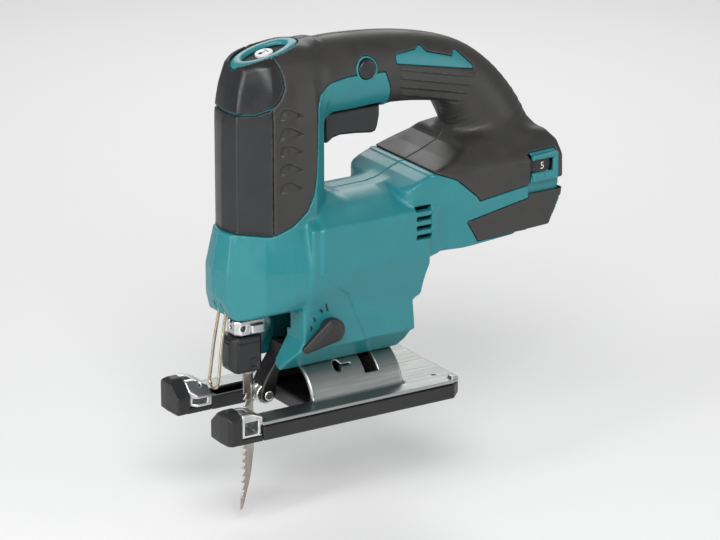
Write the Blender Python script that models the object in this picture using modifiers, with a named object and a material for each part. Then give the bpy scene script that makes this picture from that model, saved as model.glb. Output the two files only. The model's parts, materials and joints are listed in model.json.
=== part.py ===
# Cordless top-handle jigsaw, standing on its sole, blade end towards -X, lever side towards -Y, up +Z.
# All sizes in the lists below are millimetres; the helpers turn them into metres.
import math

import bmesh
import bpy
from mathutils import Matrix, Vector

mm = 0.001

# Clearances
gap = 0.3              # between touching pieces
skin = 1.5             # thickness of the rubber and cover mouldings on the housing

# Base
sole_half_width = 38.0
sole_wall = 2.5              # side wall of the sole cover
sole_rear = 74.5
nose_front = -67.0
plate_front = -54.0
plate_margin = 1.0           # how far the steel plate stays inside the sole cover
corner_cut = 7.0             # at the rear corners of the base
cap_front = -76.0
plate_top = 10.4
plate_thick = 2.2
fork_half = 17.0
fork_rear = -16.0
tilt_axis_z = 4.0
channel_radius = 27.0
clamp_room = 0.9             # between the channel and the clamp plate under it
clamp_thick = 2.4
channel_rear = 42.0

# Drive line
motor_z = 94.0
gear_teeth = 48
pinion_teeth = 8
tooth_module = 0.7
mesh_play = 0.3
crank_radius = 13.0
plunger_x = -40.0
plunger_radius = 4.5
bush_wall = 1.6
rest_above_bottom = 3.0     # how far the plunger stands above its lowest point

# Blade
blade_x = -41.5
blade_half_width = 3.25
blade_thick = 1.2
blade_tip_z = -54.4
guard_x = -58.7              # where the wire guard enters the housing

# Round pieces
ring_steps = 24

gear_pitch = tooth_module * gear_teeth / 2
pinion_pitch = tooth_module * pinion_teeth / 2
gear_z = motor_z + gear_pitch + pinion_pitch + mesh_play
crank_drop = crank_radius - rest_above_bottom
crank_angle = math.asin(-crank_drop / crank_radius)
pin_y = crank_radius * math.cos(crank_angle)
plunger_bore = plunger_radius + gap
bush_radius = plunger_bore + bush_wall
pin_z = gear_z - crank_drop


# ---------------------------------------------------------------- helpers
def clear_scene():
    for obj in list(bpy.data.objects):
        bpy.data.objects.remove(obj)


def new_collection(name, shown):
    group = bpy.data.collections.new(name)
    bpy.context.scene.collection.children.link(group)
    group.hide_render = not shown
    return group


def material(name, colour, roughness, metallic=0.0):
    mat = bpy.data.materials.new(name)
    mat.use_nodes = True
    shader = mat.node_tree.nodes["Principled BSDF"]
    shader.inputs["Base Color"].default_value = (*colour, 1.0)
    shader.inputs["Roughness"].default_value = roughness
    shader.inputs["Metallic"].default_value = metallic
    return mat


def object_of(name, work):
    bmesh.ops.recalc_face_normals(work, faces=work.faces)
    mesh = bpy.data.meshes.new(name)
    work.to_mesh(mesh)
    work.free()
    obj = bpy.data.objects.new(name, mesh)
    helpers.objects.link(obj)
    return obj


def frame_of(axis):
    """Columns: the outline's first direction, its second direction, the extrusion."""
    turns = {
        "x": Matrix(((0, 0, 1), (1, 0, 0), (0, 1, 0))),
        "y": Matrix(((1, 0, 0), (0, 0, 1), (0, 1, 0))),
        "z": Matrix(((1, 0, 0), (0, 1, 0), (0, 0, 1))),
    }
    return turns[axis].to_4x4()


def prism(name, axis, outline, start, end):
    """An outline in the two other axes, in alphabetical order, carried along one axis."""
    work = bmesh.new()
    corners = [work.verts.new((a * mm, b * mm, start * mm)) for a, b in outline]
    face = work.faces.new(corners)
    grown = bmesh.ops.extrude_face_region(work, geom=[face])["geom"]
    moved = [item for item in grown if isinstance(item, bmesh.types.BMVert)]
    bmesh.ops.translate(work, verts=moved, vec=(0, 0, (end - start) * mm))
    bmesh.ops.transform(work, matrix=frame_of(axis), verts=work.verts)
    return object_of(name, work)


def block(name, low, high):
    work = bmesh.new()
    bmesh.ops.create_cube(work, size=1.0)
    size = [(b - a) * mm for a, b in zip(low, high)]
    middle = [(a + b) / 2 * mm for a, b in zip(low, high)]
    bmesh.ops.scale(work, vec=size, verts=work.verts)
    bmesh.ops.translate(work, vec=middle, verts=work.verts)
    return object_of(name, work)


def round_bar(name, axis, across, start, end, radius, steps=ring_steps, end_radius=None):
    """A cylinder or cone along an axis; across holds its place in the two other axes."""
    work = bmesh.new()
    top = radius if end_radius is None else end_radius
    bmesh.ops.create_cone(
        work, cap_ends=True, segments=steps,
        radius1=radius * mm, radius2=top * mm, depth=(end - start) * mm,
    )
    shift = (across[0] * mm, across[1] * mm, (start + end) / 2 * mm)
    bmesh.ops.translate(work, vec=shift, verts=work.verts)
    bmesh.ops.transform(work, matrix=frame_of(axis), verts=work.verts)
    return object_of(name, work)


def turned(name, profile, axis, place, steps=ring_steps):
    """A profile of (radius, height) pairs, running down its outer side, turned about an axis."""
    mesh = bpy.data.meshes.new(name)
    points = [(r * mm, 0, h * mm) for r, h in profile]
    edges = [(i, i + 1) for i in range(len(points) - 1)]
    if profile[0][0] > 0 and profile[-1][0] > 0:
        edges.append((len(points) - 1, 0))
    mesh.from_pydata(points, edges, [])
    obj = bpy.data.objects.new(name, mesh)
    helpers.objects.link(obj)
    screw = obj.modifiers.new("turn", "SCREW")
    screw.steps = steps
    screw.render_steps = steps
    screw.use_merge_vertices = True
    screw.merge_threshold = 1e-5
    apply_modifiers(obj)
    work = bmesh.new()
    work.from_mesh(obj.data)
    bmesh.ops.transform(work, matrix=frame_of(axis), verts=work.verts)
    bmesh.ops.translate(work, vec=[value * mm for value in place], verts=work.verts)
    bmesh.ops.recalc_face_normals(work, faces=work.faces)
    work.to_mesh(obj.data)
    work.free()
    return obj


def swept(name, path, radii, flatten=1.0, sides=2, closed=False):
    """A round bar along a path of (x, y, z) points, squeezed across the middle plane."""
    curve = bpy.data.curves.new(name, "CURVE")
    curve.dimensions = "3D"
    curve.bevel_depth = mm
    curve.bevel_resolution = sides
    curve.use_fill_caps = not closed
    spline = curve.splines.new("POLY")
    spline.points.add(len(path) - 1)
    for point, place, radius in zip(spline.points, path, radii):
        point.co = (place[0] * mm, place[1] / flatten * mm, place[2] * mm, 1)
        point.radius = radius
    spline.use_cyclic_u = closed
    holder = bpy.data.objects.new(name + "_path", curve)
    helpers.objects.link(holder)
    bpy.context.view_layer.update()
    graph = bpy.context.evaluated_depsgraph_get()
    mesh = bpy.data.meshes.new_from_object(holder.evaluated_get(graph))
    bpy.data.objects.remove(holder)
    work = bmesh.new()
    work.from_mesh(mesh)
    bmesh.ops.remove_doubles(work, verts=work.verts, dist=1e-6)
    bmesh.ops.scale(work, vec=(1, flatten, 1), verts=work.verts)
    return object_of(name, work)


def apply_modifiers(obj):
    bpy.context.view_layer.update()
    graph = bpy.context.evaluated_depsgraph_get()
    mesh = bpy.data.meshes.new_from_object(obj.evaluated_get(graph))
    obj.modifiers.clear()
    obj.data = mesh


def combine(obj, operation, tools):
    for tool in tools:
        change = obj.modifiers.new(operation.lower(), "BOOLEAN")
        change.operation = operation
        change.solver = "EXACT"
        change.object = tool
        apply_modifiers(obj)
        bpy.data.objects.remove(tool)
    return obj


def joined(obj, *tools):
    return combine(obj, "UNION", tools)


def cut(obj, *tools):
    return combine(obj, "DIFFERENCE", tools)


def common(obj, *tools):
    return combine(obj, "INTERSECT", tools)


def copied(obj, name):
    twin = obj.copy()
    twin.data = obj.data.copy()
    twin.name = name
    helpers.objects.link(twin)
    return twin


def mirrored(obj, name):
    twin = copied(obj, name)
    work = bmesh.new()
    work.from_mesh(twin.data)
    bmesh.ops.scale(work, vec=(1, -1, 1), verts=work.verts)
    bmesh.ops.reverse_faces(work, faces=work.faces)
    work.to_mesh(twin.data)
    work.free()
    return twin


def softened(obj, width, segments=1, angle=40):
    """Rounds the edges whose faces meet at more than the angle."""
    bevel = obj.modifiers.new("edges", "BEVEL")
    bevel.width = width * mm
    bevel.segments = segments
    bevel.limit_method = "ANGLE"
    bevel.angle_limit = math.radians(angle)
    apply_modifiers(obj)
    return obj


def keep(obj, name, mat, pivot=None):
    """Makes a solid a finished piece, with its origin on the given point."""
    helpers.objects.unlink(obj)
    pieces.objects.link(obj)
    obj.name = name
    obj.data.name = name
    obj.data.materials.clear()
    obj.data.materials.append(mat)
    if pivot is not None:
        origin = Vector([value * mm for value in pivot])
        obj.data.transform(Matrix.Translation(-origin))
        obj.location = origin
    smooth_sides(obj)
    return obj


def smooth_sides(obj):
    for face in obj.data.polygons:
        face.use_smooth = True
    obj.data.set_sharp_from_angle(angle=math.radians(35))


def offset(outline, inwards):
    """The same closed outline moved inwards, each edge by the same amount."""
    count = len(outline)
    area = sum(
        outline[i][0] * outline[(i + 1) % count][1] - outline[(i + 1) % count][0] * outline[i][1]
        for i in range(count)
    )
    turn = 1 if area > 0 else -1
    moved = []
    for i in range(count):
        before, here, after = (Vector(outline[(i + step) % count]) for step in (-1, 0, 1))
        first = (here - before).normalized()
        second = (after - here).normalized()
        normal = Vector((-first.y - second.y, first.x + second.x))
        normal.normalize()
        edge = Vector((-first.y, first.x))
        reach = turn * inwards / max(normal.dot(edge), 0.2)
        moved.append((here.x + normal.x * reach, here.y + normal.y * reach))
    return moved


def mirrored_outline(half):
    """A half outline of (a, b) pairs with b >= 0, closed by its mirror image across b = 0."""
    back = [(a, -b) for a, b in reversed(half) if b > 0]
    return list(half) + back


def arc(centre, radius, start, end, steps):
    angles = [math.radians(start + (end - start) * i / steps) for i in range(steps + 1)]
    return [(centre[0] + radius * math.cos(t), centre[1] + radius * math.sin(t)) for t in angles]


# ---------------------------------------------------------------- housing shape
def column_solid(inset):
    """The upright front column, faceted at the front, rounder at the grip."""
    plan = mirrored_outline([
        (-57.5, 0), (-54, 11.5), (-39, 24.5), (-25, 27), (-12, 24.5), (-3, 17), (3, 7),
    ])
    side = [
        (-57.5, 100), (5, 100), (5, 207), (-8, 205), (-15, 207), (-22, 208), (-30, 206.5), (-49, 199),
        (-53, 187), (-56.5, 168), (-57.5, 140),
    ]
    front = mirrored_outline([(212, 0), (207, 10), (200, 18), (188, 24), (170, 28), (95, 28)])
    front = [(b, a) for a, b in front]
    body = prism("column", "z", offset(plan, inset), 101 + inset, 212)
    return common(
        body,
        prism("column_side", "y", offset(side, inset), -40, 40),
        prism("column_front", "x", offset(front, inset), -70, 20),
    )


def nose_solid(inset):
    """The wider foot of the column that shrouds the plunger."""
    plan = mirrored_outline([(-63.5, 0), (-60.5, 11.5), (-45, 26), (-30, 30), (-14, 33), (6, 33)])
    side = [
        (-63.5, 88), (-62.5, 74), (-57, 61), (6, 61), (6, 112), (-12, 114), (-26, 112), (-39, 108.6),
        (-59, 108.6), (-61, 104),
    ]
    front = mirrored_outline([(110.5, 0), (110.5, 26.5), (104, 33), (78, 33), (66, 27), (60, 15)])
    front = [(b, a) for a, b in front]
    body = prism("nose", "z", offset(plan, inset), 55, 120)
    return common(
        body,
        prism("nose_side", "y", offset(side, inset), -40, 40),
        prism("nose_front", "x", offset(front, inset), -70, 20),
    )


def core_solid(inset):
    """The motor barrel behind the column."""
    front = mirrored_outline([(121.5, 0), (121.5, 8), (117.5, 17), (110, 33), (85, 33), (63, 27), (55, 20)])
    front = [(b, a) for a, b in front]
    side = [(-20, 56), (50, 56), (52.5, 74), (54.5, 82), (60, 84.5), (60, 125), (-20, 125)]
    body = prism("core", "x", offset(front, inset), -30, 70)
    return common(body, prism("core_side", "y", offset(side, inset), -40, 40))


def lower_solid(inset):
    """The leg above the base, with sides cut back so the base can tilt."""
    front = mirrored_outline([(75, 0), (75, 27), (41, 27), (28.2, 14.2), (25, 14.2), (25, 0)])
    front = [(b, a) for a, b in front]
    side = [
        (-22, 80), (-22, 46), (-29, 34), (-31, 26), (-27, 22), (44, 22), (47.5, 34), (45.5, 60),
        (50, 61.5), (48.5, 80),
    ]
    body = prism("lower", "x", offset(front, inset), -40, 60)
    body = common(body, prism("lower_side", "y", offset(side, inset), -40, 40))
    reach = channel_radius + 2 * gap + inset
    return cut(body, round_bar("bottom_hollow", "x", (0, tilt_axis_z), -50, 70, reach, 48))


def rear_solid(inset):
    """The wide battery end."""
    side = [
        (40, 86.5), (54, 84.2), (75, 84.4), (132, 88.5), (139.5, 105), (140.5, 112), (140, 135),
        (135.5, 140.5), (110, 146), (82, 140.5), (66, 134), (48, 126.5), (40, 121.5),
    ]
    front = mirrored_outline([(150, 0), (150, 16), (140, 26), (128, 36), (80, 36)])
    front = [(b, a) for a, b in front]
    plan = mirrored_outline([(36, 0), (36, 20), (44, 31.5), (66, 33), (80, 36), (145, 36), (145, 0)])
    body = prism("rear", "y", offset(side, inset), -40, 40)
    body = common(body, prism("rear_front", "x", offset(front, inset), 30, 150))
    return common(body, prism("rear_plan", "z", offset(plan, inset), 70, 160))


def handle_solid(inset):
    """The handle: a bar that runs back from the column and turns down to the battery end."""
    stations = [
        (-22, 184, 22), (-8, 184.5, 21.5), (12, 185, 22), (42, 184, 20.8), (66, 180.5, 19.7),
        (84, 174, 19.6), (97, 163.5, 20.5), (106, 150, 23), (110, 137, 26.5), (111, 125, 27),
    ]
    path = [(x, 0, z) for x, z, r in stations]
    radii = [r - inset for x, z, r in stations]
    return swept("handle", path, radii, flatten=0.84, sides=4)


def opening_outline():
    """The finger opening of the D-shaped handle, round corners included."""
    return (
        [(2.2, 161.5), (2.2, 142), (4, 133), (9, 122.6), (12, 121.3), (34, 121.8), (48, 127)]
        + [(70, 133.5)] + arc((75, 143), 7, -50, 0, 3)
        + arc((72, 153.5), 8.5, 0, 70, 3) + [(45, 164), (40.5, 161.5)]
    )


def outer_solid(inset):
    body = column_solid(inset)
    body = joined(
        body, handle_solid(inset), rear_solid(inset), core_solid(inset + 0.01),
        nose_solid(inset + 0.02), lower_solid(inset),
    )
    return cut(body, prism("opening", "y", offset(opening_outline(), -inset), -60, 60))


# ---------------------------------------------------------------- coloured regions, in the side view
cover_region = [(-80, 109), (-60, 109), (-39, 108.4), (-39.4, 140), (-39.8, 177.6), (-46, 174.6), (-80, 172)]
cap_region = [
    (-80, 173), (-46.2, 175.6), (-39.8, 178.8), (-34, 183), (-31, 189), (-31, 195), (-33, 202),
    (-36, 220), (-80, 220),
]
grip_region = [
    (-38.4, 108.6), (-28, 112.6), (-18.5, 119.5), (-14, 127.5), (-12, 139), (-10.7, 156), (-10, 174),
    (-7, 181), (0, 185.5), (12, 187.5), (35.5, 186.5), (39.5, 177), (41.5, 166), (41, 150), (46, 145),
    (44, 131.4), (59, 128), (72, 124.4), (84, 112.5), (117, 116), (117, 131.5), (136, 133), (150, 133),
    (150, 230), (-35.5, 230), (-32.4, 202), (-30.4, 195), (-30.4, 188.5), (-33.6, 182.6), (-38.8, 178.6),
]
insert_region = [
    (43, 189.5), (43.5, 194), (57, 194.5), (60.5, 196.4), (64, 192.2), (80.5, 187.3), (83.5, 190.5),
    (95.5, 178.4),
]
panel_region = [(77.5, 99.2), (84, 87), (90, 80), (150, 80), (150, 106.5), (139.5, 106.8), (131, 105.8)]

body_screws = [(-18, 170), (60, 90), (22, 56), (96, 160)]


def region(name, outline, grow, start=-60, end=60):
    return prism(name, "y", offset(outline, -grow), start, end)


def half_space(name, side, shift):
    low = (-200, shift, -200) if side > 0 else (-200, -200, -200)
    high = (250, 200, 300) if side > 0 else (250, -shift, 300)
    return block(name, low, high)


def inner_spaces():
    """The hollows for the drive, the switch and the electronics."""
    plan = mirrored_outline([(-50.5, 8.5), (-47, 12), (-36.5, 20.8), (-11, 20.8)])
    nose = mirrored_outline([(-56.4, 11.5), (-53, 14.5), (-30, 14.5), (-30, 20), (-17, 20)])
    return [
        prism("gear_space", "z", plan, 80.5, 160),
        block("plunger_top_space", (-46.5, -8, 159), (-33.5, 8, 177)),
        prism("nose_space", "z", nose, 50, 81.5),
        block("axle_space", (-12, -11.5, 82), (-3, 11.5, 125)),
        round_bar("motor_space", "x", (0, motor_z), -4, 49.5, 22.5, 32),
        block("cam_space", (-19, -13, 26), (8, 13, 66)),
        block("arm_space", (-40, -9, 10), (-16, 9, 60)),
        block("trigger_space", (2.2, -10, 155), (38.2, 10, 171.5)),
        block("switch_space", (1, -9.5, 171), (40.5, 9.5, 184.2)),
        block("board_space", (64, -25, 98), (121, 25, 119)),
        block("vent_space", (44, -29, 93), (58, 29, 113)),
        block("contact_space", (120.5, -15, 99), (131, 15, 125)),
    ]


def battery_spaces():
    """The slide that takes the battery: a wide slot behind a narrower mouth, open below."""
    return [
        block("battery_slot", (130, -30, 70), (136.4, 30, 128)),
        block("battery_mouth", (135, -26.5, 70), (160, 26.5, 128)),
    ]


def vent_slots():
    """Four louvres on each side, above one another."""
    slots = []
    for row in range(4):
        low = 94.2 + row * 5.2
        for side in (-1, 1):
            ends = sorted((side * 28, side * 40))
            slots.append(block("vent", (45.2, ends[0], low), (54.8, ends[1], low + 2.8)))
    return slots


def side_holes():
    return [
        round_bar("lock_hole", "y", (23.6, 189.6), -40, 40, 5.7),
        round_bar("shaft_hole", "y", (-7, 52), -40, -12, 4.3),
        round_bar("arm_pin_hole", "y", (-19, 36), -16, 16, 2.3, 12),
        block("dial_window", (116.5, -40, 118), (135.5, -31, 130)),
        round_bar("dial_hole", "z", (125, -25.5), 118, 130, 11.5),
        round_bar("dial_stub_hole", "z", (125, -25.5), 116, 132, 2.4, 12),
        block("dial_way", (116.5, -26, 119), (133.5, -5, 129)),
        round_bar("bolt_hole", "z", (24, 0), 20, 44, 2.9, 12),
        round_bar("guard_hole_left", "z", (guard_x, -3.6), 58, 69, 1.25, 10),
        round_bar("guard_hole_right", "z", (guard_x, 3.6), 58, 69, 1.25, 10),
    ]


def screw_bores():
    return [round_bar("screw_bore", "y", place, -9, 50, 1.8, 12) for place in body_screws]


def head_bores():
    return [round_bar("head_bore", "y", (x, z), screw_seat(x, z), 50, 3.6, 12) for x, z in body_screws]


def screw_seat(x, z):
    """How far out from the middle plane a screw head sits."""
    return 12.0 if z > 150 else 18.0


def build_housing():
    full = outer_solid(0)
    under = outer_solid(skin)
    under_gap = outer_solid(skin + gap)
    ring_seat = top_disc("ring_seat", ring_length + gap, ring_width + gap, -7.5, 40)
    full = cut(full, ring_seat, *battery_spaces())
    shell = cut(copied(full, "shell"), *inner_spaces())
    shell = cut(shell, *vent_slots(), *side_holes())
    skins = cut(full, under)

    coloured = (("cover", cover_region), ("cap", cap_region), ("grip", grip_region), ("panel", panel_region))
    for name, outline in coloured:
        shed = cut(region(name + "_shed", outline, gap), copied(under_gap, "keep_under"))
        shell = cut(shell, shed)
    bpy.data.objects.remove(under_gap)

    cover = common(copied(skins, "cover"), region("cover_area", cover_region, 0))
    cap = common(copied(skins, "cap"), region("cap_area", cap_region, 0))
    panels = common(copied(skins, "panels"), region("panel_area", panel_region, 0))
    inserts = common(copied(skins, "inserts"), region("insert_area", insert_region, -gap))
    grips = common(skins, region("grip_area", grip_region, 0))
    grips = cut(grips, region("insert_hole", insert_region, 0))
    grips = cut(grips, *side_holes()[:1])
    grips = cut(grips, block("dial_notch", (116.2, -45, 117.7), (136, -30.5, 134)))
    return shell, cover, cap, panels, inserts, grips



# ---------------------------------------------------------------- materials
def teal_plastic():
    return material("teal_plastic", (0.07, 0.27, 0.33), 0.4)


def dark_rubber():
    return material("dark_rubber", (0.045, 0.043, 0.04), 0.75)


def black_plastic():
    return material("black_plastic", (0.03, 0.032, 0.034), 0.5)


def gloss_black():
    return material("gloss_black", (0.01, 0.01, 0.01), 0.15)


def white_plastic():
    return material("white_plastic", (0.75, 0.75, 0.73), 0.35)


def plated_steel():
    return material("plated_steel", (0.55, 0.57, 0.56), 0.3, 1.0)


def blade_steel():
    return material("blade_steel", (0.42, 0.4, 0.36), 0.35, 1.0)


def dark_steel():
    return material("dark_steel", (0.12, 0.12, 0.12), 0.4, 1.0)


def cast_aluminium():
    return material("cast_aluminium", (0.62, 0.63, 0.63), 0.45, 1.0)


def copper_alloy():
    return material("copper_alloy", (0.55, 0.3, 0.14), 0.35, 1.0)


def bronze_alloy():
    return material("bronze_alloy", (0.42, 0.29, 0.12), 0.45, 1.0)


# ---------------------------------------------------------------- housing pieces
def place_halves(solid, name, mat):
    """Splits a solid along the middle plane into its left (-Y) and right (+Y) pieces."""
    other = copied(solid, name + "_other")
    left = common(solid, half_space("left_space", -1, gap / 2))
    right = common(other, half_space("right_space", 1, gap / 2))
    return keep(left, "left_" + name, mat), right


def housing_pieces():
    shell, cover, cap, panels, inserts, grips = build_housing()
    teal = teal_plastic()
    rubber = dark_rubber()
    plastic = black_plastic()

    left, right = place_halves(shell, "housing", teal)
    cut(left, *screw_bores())
    keep(cut(right, *screw_bores(), *head_bores()), "right_housing", teal)

    left, right = place_halves(grips, "grip", rubber)
    keep(cut(right, *screw_bores(), *head_bores()), "right_grip", rubber)
    keep(cap, "top_cap", plastic)
    keep(cover, "front_cover", plastic)

    left, right = place_halves(panels, "rear_panel", plastic)
    keep(right, "right_rear_panel", plastic)
    left, right = place_halves(inserts, "handle_insert", teal)
    keep(right, "right_handle_insert", teal)


# ---------------------------------------------------------------- display on the top of the column
ring_centre = (-30.0, 0, 203.0)
ring_lean = math.radians(13.5)
ring_length = 20.0
ring_width = 12.5


def top_disc(name, half_length, half_width, low, high):
    """An oval disc lying in the sloping top of the column."""
    disc = round_bar(name, "z", (0, 0), low, high, 1.0, 32)
    work = bmesh.new()
    work.from_mesh(disc.data)
    bmesh.ops.scale(work, vec=(half_length, half_width, 1), verts=work.verts)
    lean = Matrix.Rotation(-ring_lean, 4, "Y")
    bmesh.ops.transform(work, matrix=lean, verts=work.verts)
    shift = Vector([value * mm for value in ring_centre])
    bmesh.ops.translate(work, vec=shift, verts=work.verts)
    work.to_mesh(disc.data)
    work.free()
    return disc


def display_pieces():
    ring = top_disc("ring", ring_length, ring_width, -7, 1.2)
    ring = cut(ring, top_disc("ring_hole", 13.5, 7.6, -9, 3))
    keep(softened(ring, 1.2, 2), "top_ring", teal_plastic())
    panel = top_disc("panel", 13.2, 7.3, -6.5, -0.6)
    panel = cut(panel, top_disc("button_well", 5.3, 5.3, -3.6, 3))
    keep(panel, "display_panel", gloss_black())
    button = top_disc("button", 5.0, 5.0, -2.4, 0.2)
    keep(softened(button, 0.5), "mode_button", white_plastic(), ring_centre)


# ---------------------------------------------------------------- handle controls
def trigger_pieces():
    plastic = black_plastic()
    outline = [
        (2.6, 166.5), (2.6, 149.2), (4.5, 148.8), (11, 152), (32.5, 150.2), (35.2, 151.2), (36.4, 154),
        (37.6, 160), (37.6, 166.5),
    ]
    trigger = softened(prism("trigger", "y", outline, -9.4, 9.4), 1.2, 2)
    trigger = cut(trigger, round_bar("spring_well", "z", (20, 0), 156, 170, 3.4, 16))
    keep(trigger, "trigger", plastic, (20, 0, 166.5))

    turns, steps, length = 5, 12, 15.2
    path = []
    for i in range(turns * steps + 1):
        t = 2 * math.pi * i / steps
        rise = length * i / (turns * steps)
        path.append((20 + 2.5 * math.cos(t), 2.5 * math.sin(t), 156.5 + rise * 0.93))
    spring = swept("spring", path, [0.45] * len(path), sides=1)
    keep(spring, "trigger_spring", plated_steel(), (20, 0, 171.2))

    body = block("switch", (2, -9, 171.8), (40, 9, 183.6))
    keep(softened(body, 0.8), "switch_body", plastic)

    button = round_bar("lock", "y", (23.6, 189.6), -18.9, 18.9, 5.4)
    keep(softened(button, 0.8), "lock_button", plastic, (23.6, 0, 189.6))


def dial_pieces():
    dial = round_bar("dial", "z", (125, -25.5), 120.3, 127.7, 10.9, 32)
    notches = []
    for i in range(16):
        t = 2 * math.pi * i / 16
        place = (125 + 11.2 * math.cos(t), -25.5 + 11.2 * math.sin(t))
        notches.append(round_bar("notch", "z", place, 119, 129, 0.7, 6))
    dial = cut(dial, *notches)
    dial = joined(dial, round_bar("dial_stubs", "z", (125, -25.5), 116.3, 131.7, 2.0, 12))
    keep(dial, "speed_dial", black_plastic(), (125, -25.5, 124))

    bezel = block("bezel", (117, -37.2, 118.3), (135.2, -34.5, 129.7))
    bezel = cut(bezel, block("bezel_hole", (118.4, -40, 119.9), (131.9, -30, 128.1)))
    keep(bezel, "dial_bezel", teal_plastic())


def electronics_pieces():
    keep(block("board", (66, -24, 100), (119, 24, 117)), "controller", dark_steel())
    body = block("terminals", (121, -14, 100), (134, 14, 124))
    slots = [block("slot", (125, y - 1.2, 102), (140, y + 1.2, 122)) for y in (-9, 0, 9)]
    keep(cut(body, *slots), "terminal_block", black_plastic())
    for side, name in ((-9, "left_contact"), (9, "right_contact")):
        keep(block(name, (125.4, side - 0.6, 103), (137, side + 0.6, 121)), name, copper_alloy())


# ---------------------------------------------------------------- motor
def gear_outline(teeth, pitch, thin, phase=0.0):
    """Tooth flanks as straight lines from root to tip."""
    add = tooth_module
    root = pitch - 1.2 * tooth_module
    half = math.pi / (2 * teeth)
    points = []
    for i in range(teeth):
        middle = phase + 2 * math.pi * i / teeth
        for radius, spread in ((root, -1.55), (pitch + add, -0.45), (pitch + add, 0.45), (root, 1.55)):
            t = middle + half * spread * thin
            points.append((radius * math.cos(t), radius * math.sin(t)))
    return points


def spun_copies(name, low, high, count):
    """Blocks spaced evenly round the motor axis."""
    found = []
    for i in range(count):
        bar = block(name, low, high)
        bar.data.transform(Matrix.Rotation(2 * math.pi * i / count, 4, "X"))
        bar.data.transform(Matrix.Translation((0, 0, motor_z * mm)))
        found.append(bar)
    return found


def motor_pieces():
    steel = dark_steel()
    stator = round_bar("stator", "x", (0, motor_z), 2, 32, 21.8, 36)
    stator = cut(stator, round_bar("bore", "x", (0, motor_z), 0, 40, 12.6, 36))
    slots = spun_copies("slot", (0, -2.2, 8), (40, 2.2, 18.5), 6)
    keep(cut(stator, *slots), "stator", copper_alloy())

    rotor = round_bar("rotor", "x", (0, motor_z), 4, 30, 12.0, 32)
    rotor = cut(rotor, round_bar("rotor_bore", "x", (0, motor_z), 0, 40, 2.8, 16))
    keep(rotor, "rotor_core", steel, (17, 0, motor_z))

    shaft = round_bar("shaft", "x", (0, motor_z), -14, 47.8, 2.5, 16)
    teeth = [(a, b + motor_z) for a, b in gear_outline(pinion_teeth, pinion_pitch, 0.9)]
    shaft = joined(shaft, prism("pinion", "x", teeth, -21, -14.8 + 1.0))
    keep(shaft, "motor_shaft", plated_steel(), (0, 0, motor_z))

    fan = round_bar("fan", "x", (0, motor_z), 40.5, 42, 20.5, 28)
    blades = spun_copies("blade", (36.5, -0.7, 5), (41, 0.7, 20), 9)
    fan = joined(fan, round_bar("hub", "x", (0, motor_z), 37, 42.3, 6, 20), *blades)
    fan = cut(fan, round_bar("fan_bore", "x", (0, motor_z), 30, 50, 2.8, 16))
    keep(fan, "fan", black_plastic(), (40, 0, motor_z))

    for name, low, high in (("front_bearing", -10.2, -5.2), ("rear_bearing", 43.4, 48.2)):
        ring = round_bar(name, "x", (0, motor_z), low, high, 7.0, 24)
        ring = cut(ring, round_bar("bearing_bore", "x", (0, motor_z), low - 1, high + 1, 2.8, 16))
        keep(ring, name, plated_steel())


# ---------------------------------------------------------------- gear train
def gear_case():
    """The aluminium frame that carries the motor bearing, the gear and both bushes."""
    plan = mirrored_outline([(-46, 9), (-36.2, 18.5), (-34, 20.3), (-11.7, 20.3)])
    body = prism("case", "z", plan, 81.5, 158)
    hollow = [
        block("case_hollow", (-50, -18.3, 92), (-14.7, 18.3, 137)),
        block("case_top_hollow", (-30, -18.3, 130), (-14.7, 18.3, 170)),
        block("case_low_hollow", (-29, -18.3, 70), (-14.7, 18.3, 95)),
        round_bar("shaft_way", "x", (0, motor_z), -20, 0, 4.0, 20),
        round_bar("axle_way", "x", (0, gear_z), -20, 0, 6.3, 20),
        round_bar("upper_way", "z", (plunger_x, 0), 130, 165, bush_radius + gap, 24),
        round_bar("lower_way", "z", (plunger_x, 0), 70, 100, bush_radius + gap, 24),
        block("case_trim", (-50, -30, 147), (-30, 30, 170)),
    ]
    body = cut(body, *hollow)
    cup = round_bar("cup", "x", (0, motor_z), -12.5, -4.7, 9.5, 24)
    cup = cut(cup, round_bar("cup_bore", "x", (0, motor_z), -10.8, 0, 7.3, 24))
    cup = cut(cup, round_bar("cup_way", "x", (0, motor_z), -20, 0, 4.0, 20))
    body = joined(body, cup)
    keep(body, "gear_housing", cast_aluminium())


def crank_pieces():
    outline = [(a, b + gear_z) for a, b in gear_outline(gear_teeth, gear_pitch, 0.9, math.pi / gear_teeth)]
    gear = prism("gear", "x", outline, -21, -15.5)
    axle = round_bar("axle", "x", (0, gear_z), -15.6, -9.6, 3.2, 20)
    pin = round_bar("pin", "x", (pin_y, pin_z), -28.6, -20.5, 2.5, 16)
    gear = joined(gear, axle, pin)
    keep(gear, "crank_gear", plated_steel(), (-18, 0, gear_z))
    bush = round_bar("axle_bush", "x", (0, gear_z), -14.5, -9.8, 6.0, 24)
    bush = cut(bush, round_bar("axle_bore", "x", (0, gear_z), -20, 0, 3.5, 20))
    keep(bush, "axle_bush", bronze_alloy())


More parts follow.
